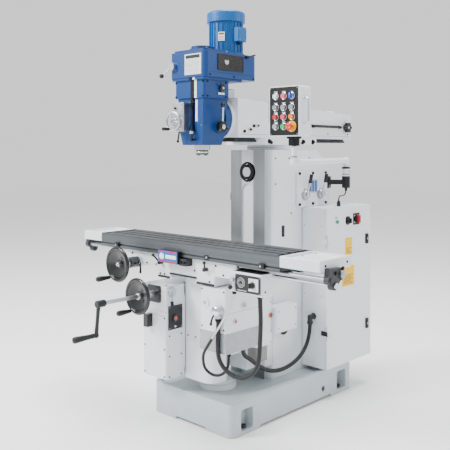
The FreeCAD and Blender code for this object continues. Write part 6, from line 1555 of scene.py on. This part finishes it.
# ---- turret and ram ------------------------------------------------------------------
class MILL_OT_ram(bpy.types.Operator):
    """Add the clamping screws, degree scale, rails and knobs of the turret and the ram"""
    bl_idname = "mill.ram"
    bl_label = "Turret and ram fittings"

    def execute(self, context):
        black, dark, steel = mat("screw_black"), mat("recess_shade_and_seam"), mat("screw_steel")
        swivel = joint_place("turret_swivel")
        cheek, flank = 0.160, 0.130    # half widths of the turret block and of the ram
        part = Piece("turret_fittings")
        for s in (-1, 1):
            for y in (-0.080, 0.245, 0.345):
                part.stud(0.0140, 0.002, 0.002, (s * cheek, y, 1.5505), (s, 0, 0), mat("screw_black"), 28)
                part.turned([(0, 0.002), (0.0105, 0.002), (0.0105, 0.011), (0.009, 0.0125), (0, 0.0125)],
                            (s * cheek, y, 1.5505), (s, 0, 0), black, 6)
            part.torus((s * 0.148, swivel.y - 0.03, 1.5712), (0, 0, 1), 0.006, 0.0018, mat("black_iron"), 20, 6)
        for k in range(91):
            a = math.radians(-45 + k + 270)
            if abs(math.cos(a)) > 0.75:
                continue
            long = k % 5 == 0
            way = Vector((math.cos(a), math.sin(a), 0))
            spot = swivel + way * 0.1551
            z = 1.5165 - (0.006 if long else 0.0035)
            part.block((spot.x - 0.0004, spot.y - 0.0003, z), (spot.x + 0.0004, spot.y + 0.0003, 1.5165),
                       mat("ink"), 0.0, 2, (spot, "Z", a + math.pi / 2))
        part.done("turret")
        part = Piece("ram_fittings")
        for s in (-1, 1):
            for y, z, size in ((-0.218, 1.617, 0.0130), (-0.150, 1.640, 0.0095)):
                part.turned([(0, 0), (size, 0), (size, 0.005), (size * 0.8, 0.007), (0, 0.007)],
                            (s * flank, y, z), (s, 0, 0), mat("satin"), 32)
                part.turned([(0, 0.0065), (size * 0.6, 0.0065), (size * 0.6, 0.013), (0, 0.014)],
                            (s * flank, y, z), (s, 0, 0), black, 6)
            part.block((s * flank - 0.0006, 0.120, 1.6555), (s * flank + 0.0016, 0.690, 1.6605),
                       mat("black_iron"), 0.0008)
            part.block((s * 0.1298 - 0.0006, -0.300, 1.5885), (s * 0.1298 + 0.0006, 0.810, 1.5900),
                       mat("recess_shade_and_seam"), 0.0)
            part.screws(grid(s * flank, (0.150, 0.350, 0.550, 0.780), 1.605), (s, 0, 0), 0.0050, black, dark,
                        0.003)
        for angle in (35, 90, 145, 215, 325):
            a = math.radians(angle)
            part.stud(0.008, 0.006, 0.007, (0.100 * math.cos(a), -0.3175, 1.6751 + 0.100 * math.sin(a)),
                      (0, 1, 0), steel, 6)
        for k in range(61):
            a = math.radians(60 + k)
            spot = Vector((0.1152 * math.cos(a), -0.3316, 1.6751 + 0.1152 * math.sin(a)))
            reach = 0.006 if k % 5 == 0 else 0.0035
            part.block((spot.x - 0.0004, -0.3444, spot.z - 0.0002), (spot.x + 0.0004, -0.3444 + reach,
                    spot.z + 0.0002), mat("ink"), 0.0, 2, (spot, "Y", math.pi / 2 - a))
        part.slab((-0.030, -0.3000, 1.8488), (0.030, -0.2700, 1.8500), 2, 0.004, mat("enamel"), 0.0004)
        part.slab((-0.048, 0.560, 1.7349), (0.048, 0.660, 1.7412), 2, 0.008, mat("grey_plate"), 0.0010)
        part.done("ram")
        wheel = joint_place("ram_handwheel_turn")
        part = Piece("ram_knob")
        part.turned([(0, 0), (0.010, 0), (0.010, 0.004), (0.007, 0.006), (0, 0.006)],
                    (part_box("ram_handwheel")[1].x - 0.0055, wheel.y, wheel.z), (1, 0, 0), mat("chrome"), 28)
        part.done("ram_handwheel")
        return {"FINISHED"}


# ---- stage ---------------------------------------------------------------------------
VIEW_PLACE = (2.7527, -3.2065, 1.5)    # camera, in metres
VIEW_TURN = 43.3                       # heading of the camera, in degrees
VIEW_LENS, VIEW_SENSOR, VIEW_SHIFT = 55.8, 36.0, -0.1667
SKY = 1.1                              # strength of the even light
LIGHTS = (("key", (-2.6, -4.6, 4.6), 2.2, 520.0), ("side", (4.8, 2.6, 3.4), 3.0, 50.0),
          ("top", (0.2, 0.2, 6.0), 3.0, 420.0))    # name, place, size and power
LIGHT_AIM = Vector((0.0, 0.0, 0.9))


class MILL_OT_stage(bpy.types.Operator):
    """Set the floor, the soft lights and the camera"""
    bl_idname = "mill.stage"
    bl_label = "Stage"

    def execute(self, context):
        scene = context.scene
        width = scene.mill_sizes.floor
        floor = Piece("studio_floor")
        floor.block((-width / 2, -width / 2, -0.02), (width / 2, width / 2, 0.0),
                    plain("floor_paper", sheet_paint(linear("fbfbfb"), 0.75), 0.00005), 0.0)
        floor.done(None)
        world = bpy.data.worlds.new("studio")
        world.use_nodes = True
        back = world.node_tree.nodes["Background"]
        back.inputs[0].default_value = (1.0, 1.0, 1.0, 1.0)
        back.inputs[1].default_value = SKY
        scene.world = world
        for name, spot, size, power in LIGHTS:
            lamp = bpy.data.lights.new(name, "AREA")
            lamp.shape = "DISK"
            lamp.size = size
            lamp.energy = power
            holder = bpy.data.objects.new(name, lamp)
            holder.location = spot
            aim = LIGHT_AIM - Vector(spot)
            holder.rotation_euler = aim.to_track_quat("-Z", "Y").to_euler()
            scene.collection.objects.link(holder)
        view = bpy.data.cameras.new("view")
        view.lens = VIEW_LENS
        view.sensor_width = VIEW_SENSOR
        view.shift_y = VIEW_SHIFT
        view.clip_end = 200.0
        camera = bpy.data.objects.new("view", view)
        camera.location = VIEW_PLACE
        camera.rotation_euler = (math.radians(90), 0.0, math.radians(VIEW_TURN))
        scene.collection.objects.link(camera)
        scene.camera = camera
        return {"FINISHED"}


OPERATORS = (MILL_OT_finishes, MILL_OT_castings, MILL_OT_handwheels, MILL_OT_crank, MILL_OT_hoses, MILL_OT_head,
             MILL_OT_control_box, MILL_OT_cabinet, MILL_OT_table, MILL_OT_knee, MILL_OT_column, MILL_OT_ram,
             MILL_OT_stage)


class MILL_PT_panel(bpy.types.Panel):
    """Sidebar panel that lists the pieces of the machine"""
    bl_label = "Milling machine"
    bl_idname = "MILL_PT_panel"
    bl_space_type = "VIEW_3D"
    bl_region_type = "UI"
    bl_category = "Mill"

    def draw(self, context):
        layout = self.layout
        colours = context.scene.mill_colours
        for name in ("enamel", "base", "head", "motor", "label"):
            layout.prop(colours, name)
        sizes = context.scene.mill_sizes
        for name in ("rib_pitch", "screw_radius", "floor"):
            layout.prop(sizes, name)
        for operator in OPERATORS:
            layout.operator(operator.bl_idname)


CLASSES = (MillColours, MillSizes) + OPERATORS + (MILL_PT_panel,)


def register():
    for kind in CLASSES:
        bpy.utils.register_class(kind)
    bpy.types.Scene.mill_colours = bpy.props.PointerProperty(type=MillColours)
    bpy.types.Scene.mill_sizes = bpy.props.PointerProperty(type=MillSizes)


def unregister():
    del bpy.types.Scene.mill_sizes
    del bpy.types.Scene.mill_colours
    for kind in reversed(CLASSES):
        bpy.utils.unregister_class(kind)


def main():
    register()
    for operator in OPERATORS:
        group, name = operator.bl_idname.split(".")
        getattr(getattr(bpy.ops, group), name)()


if __name__ == "__main__":
    main()
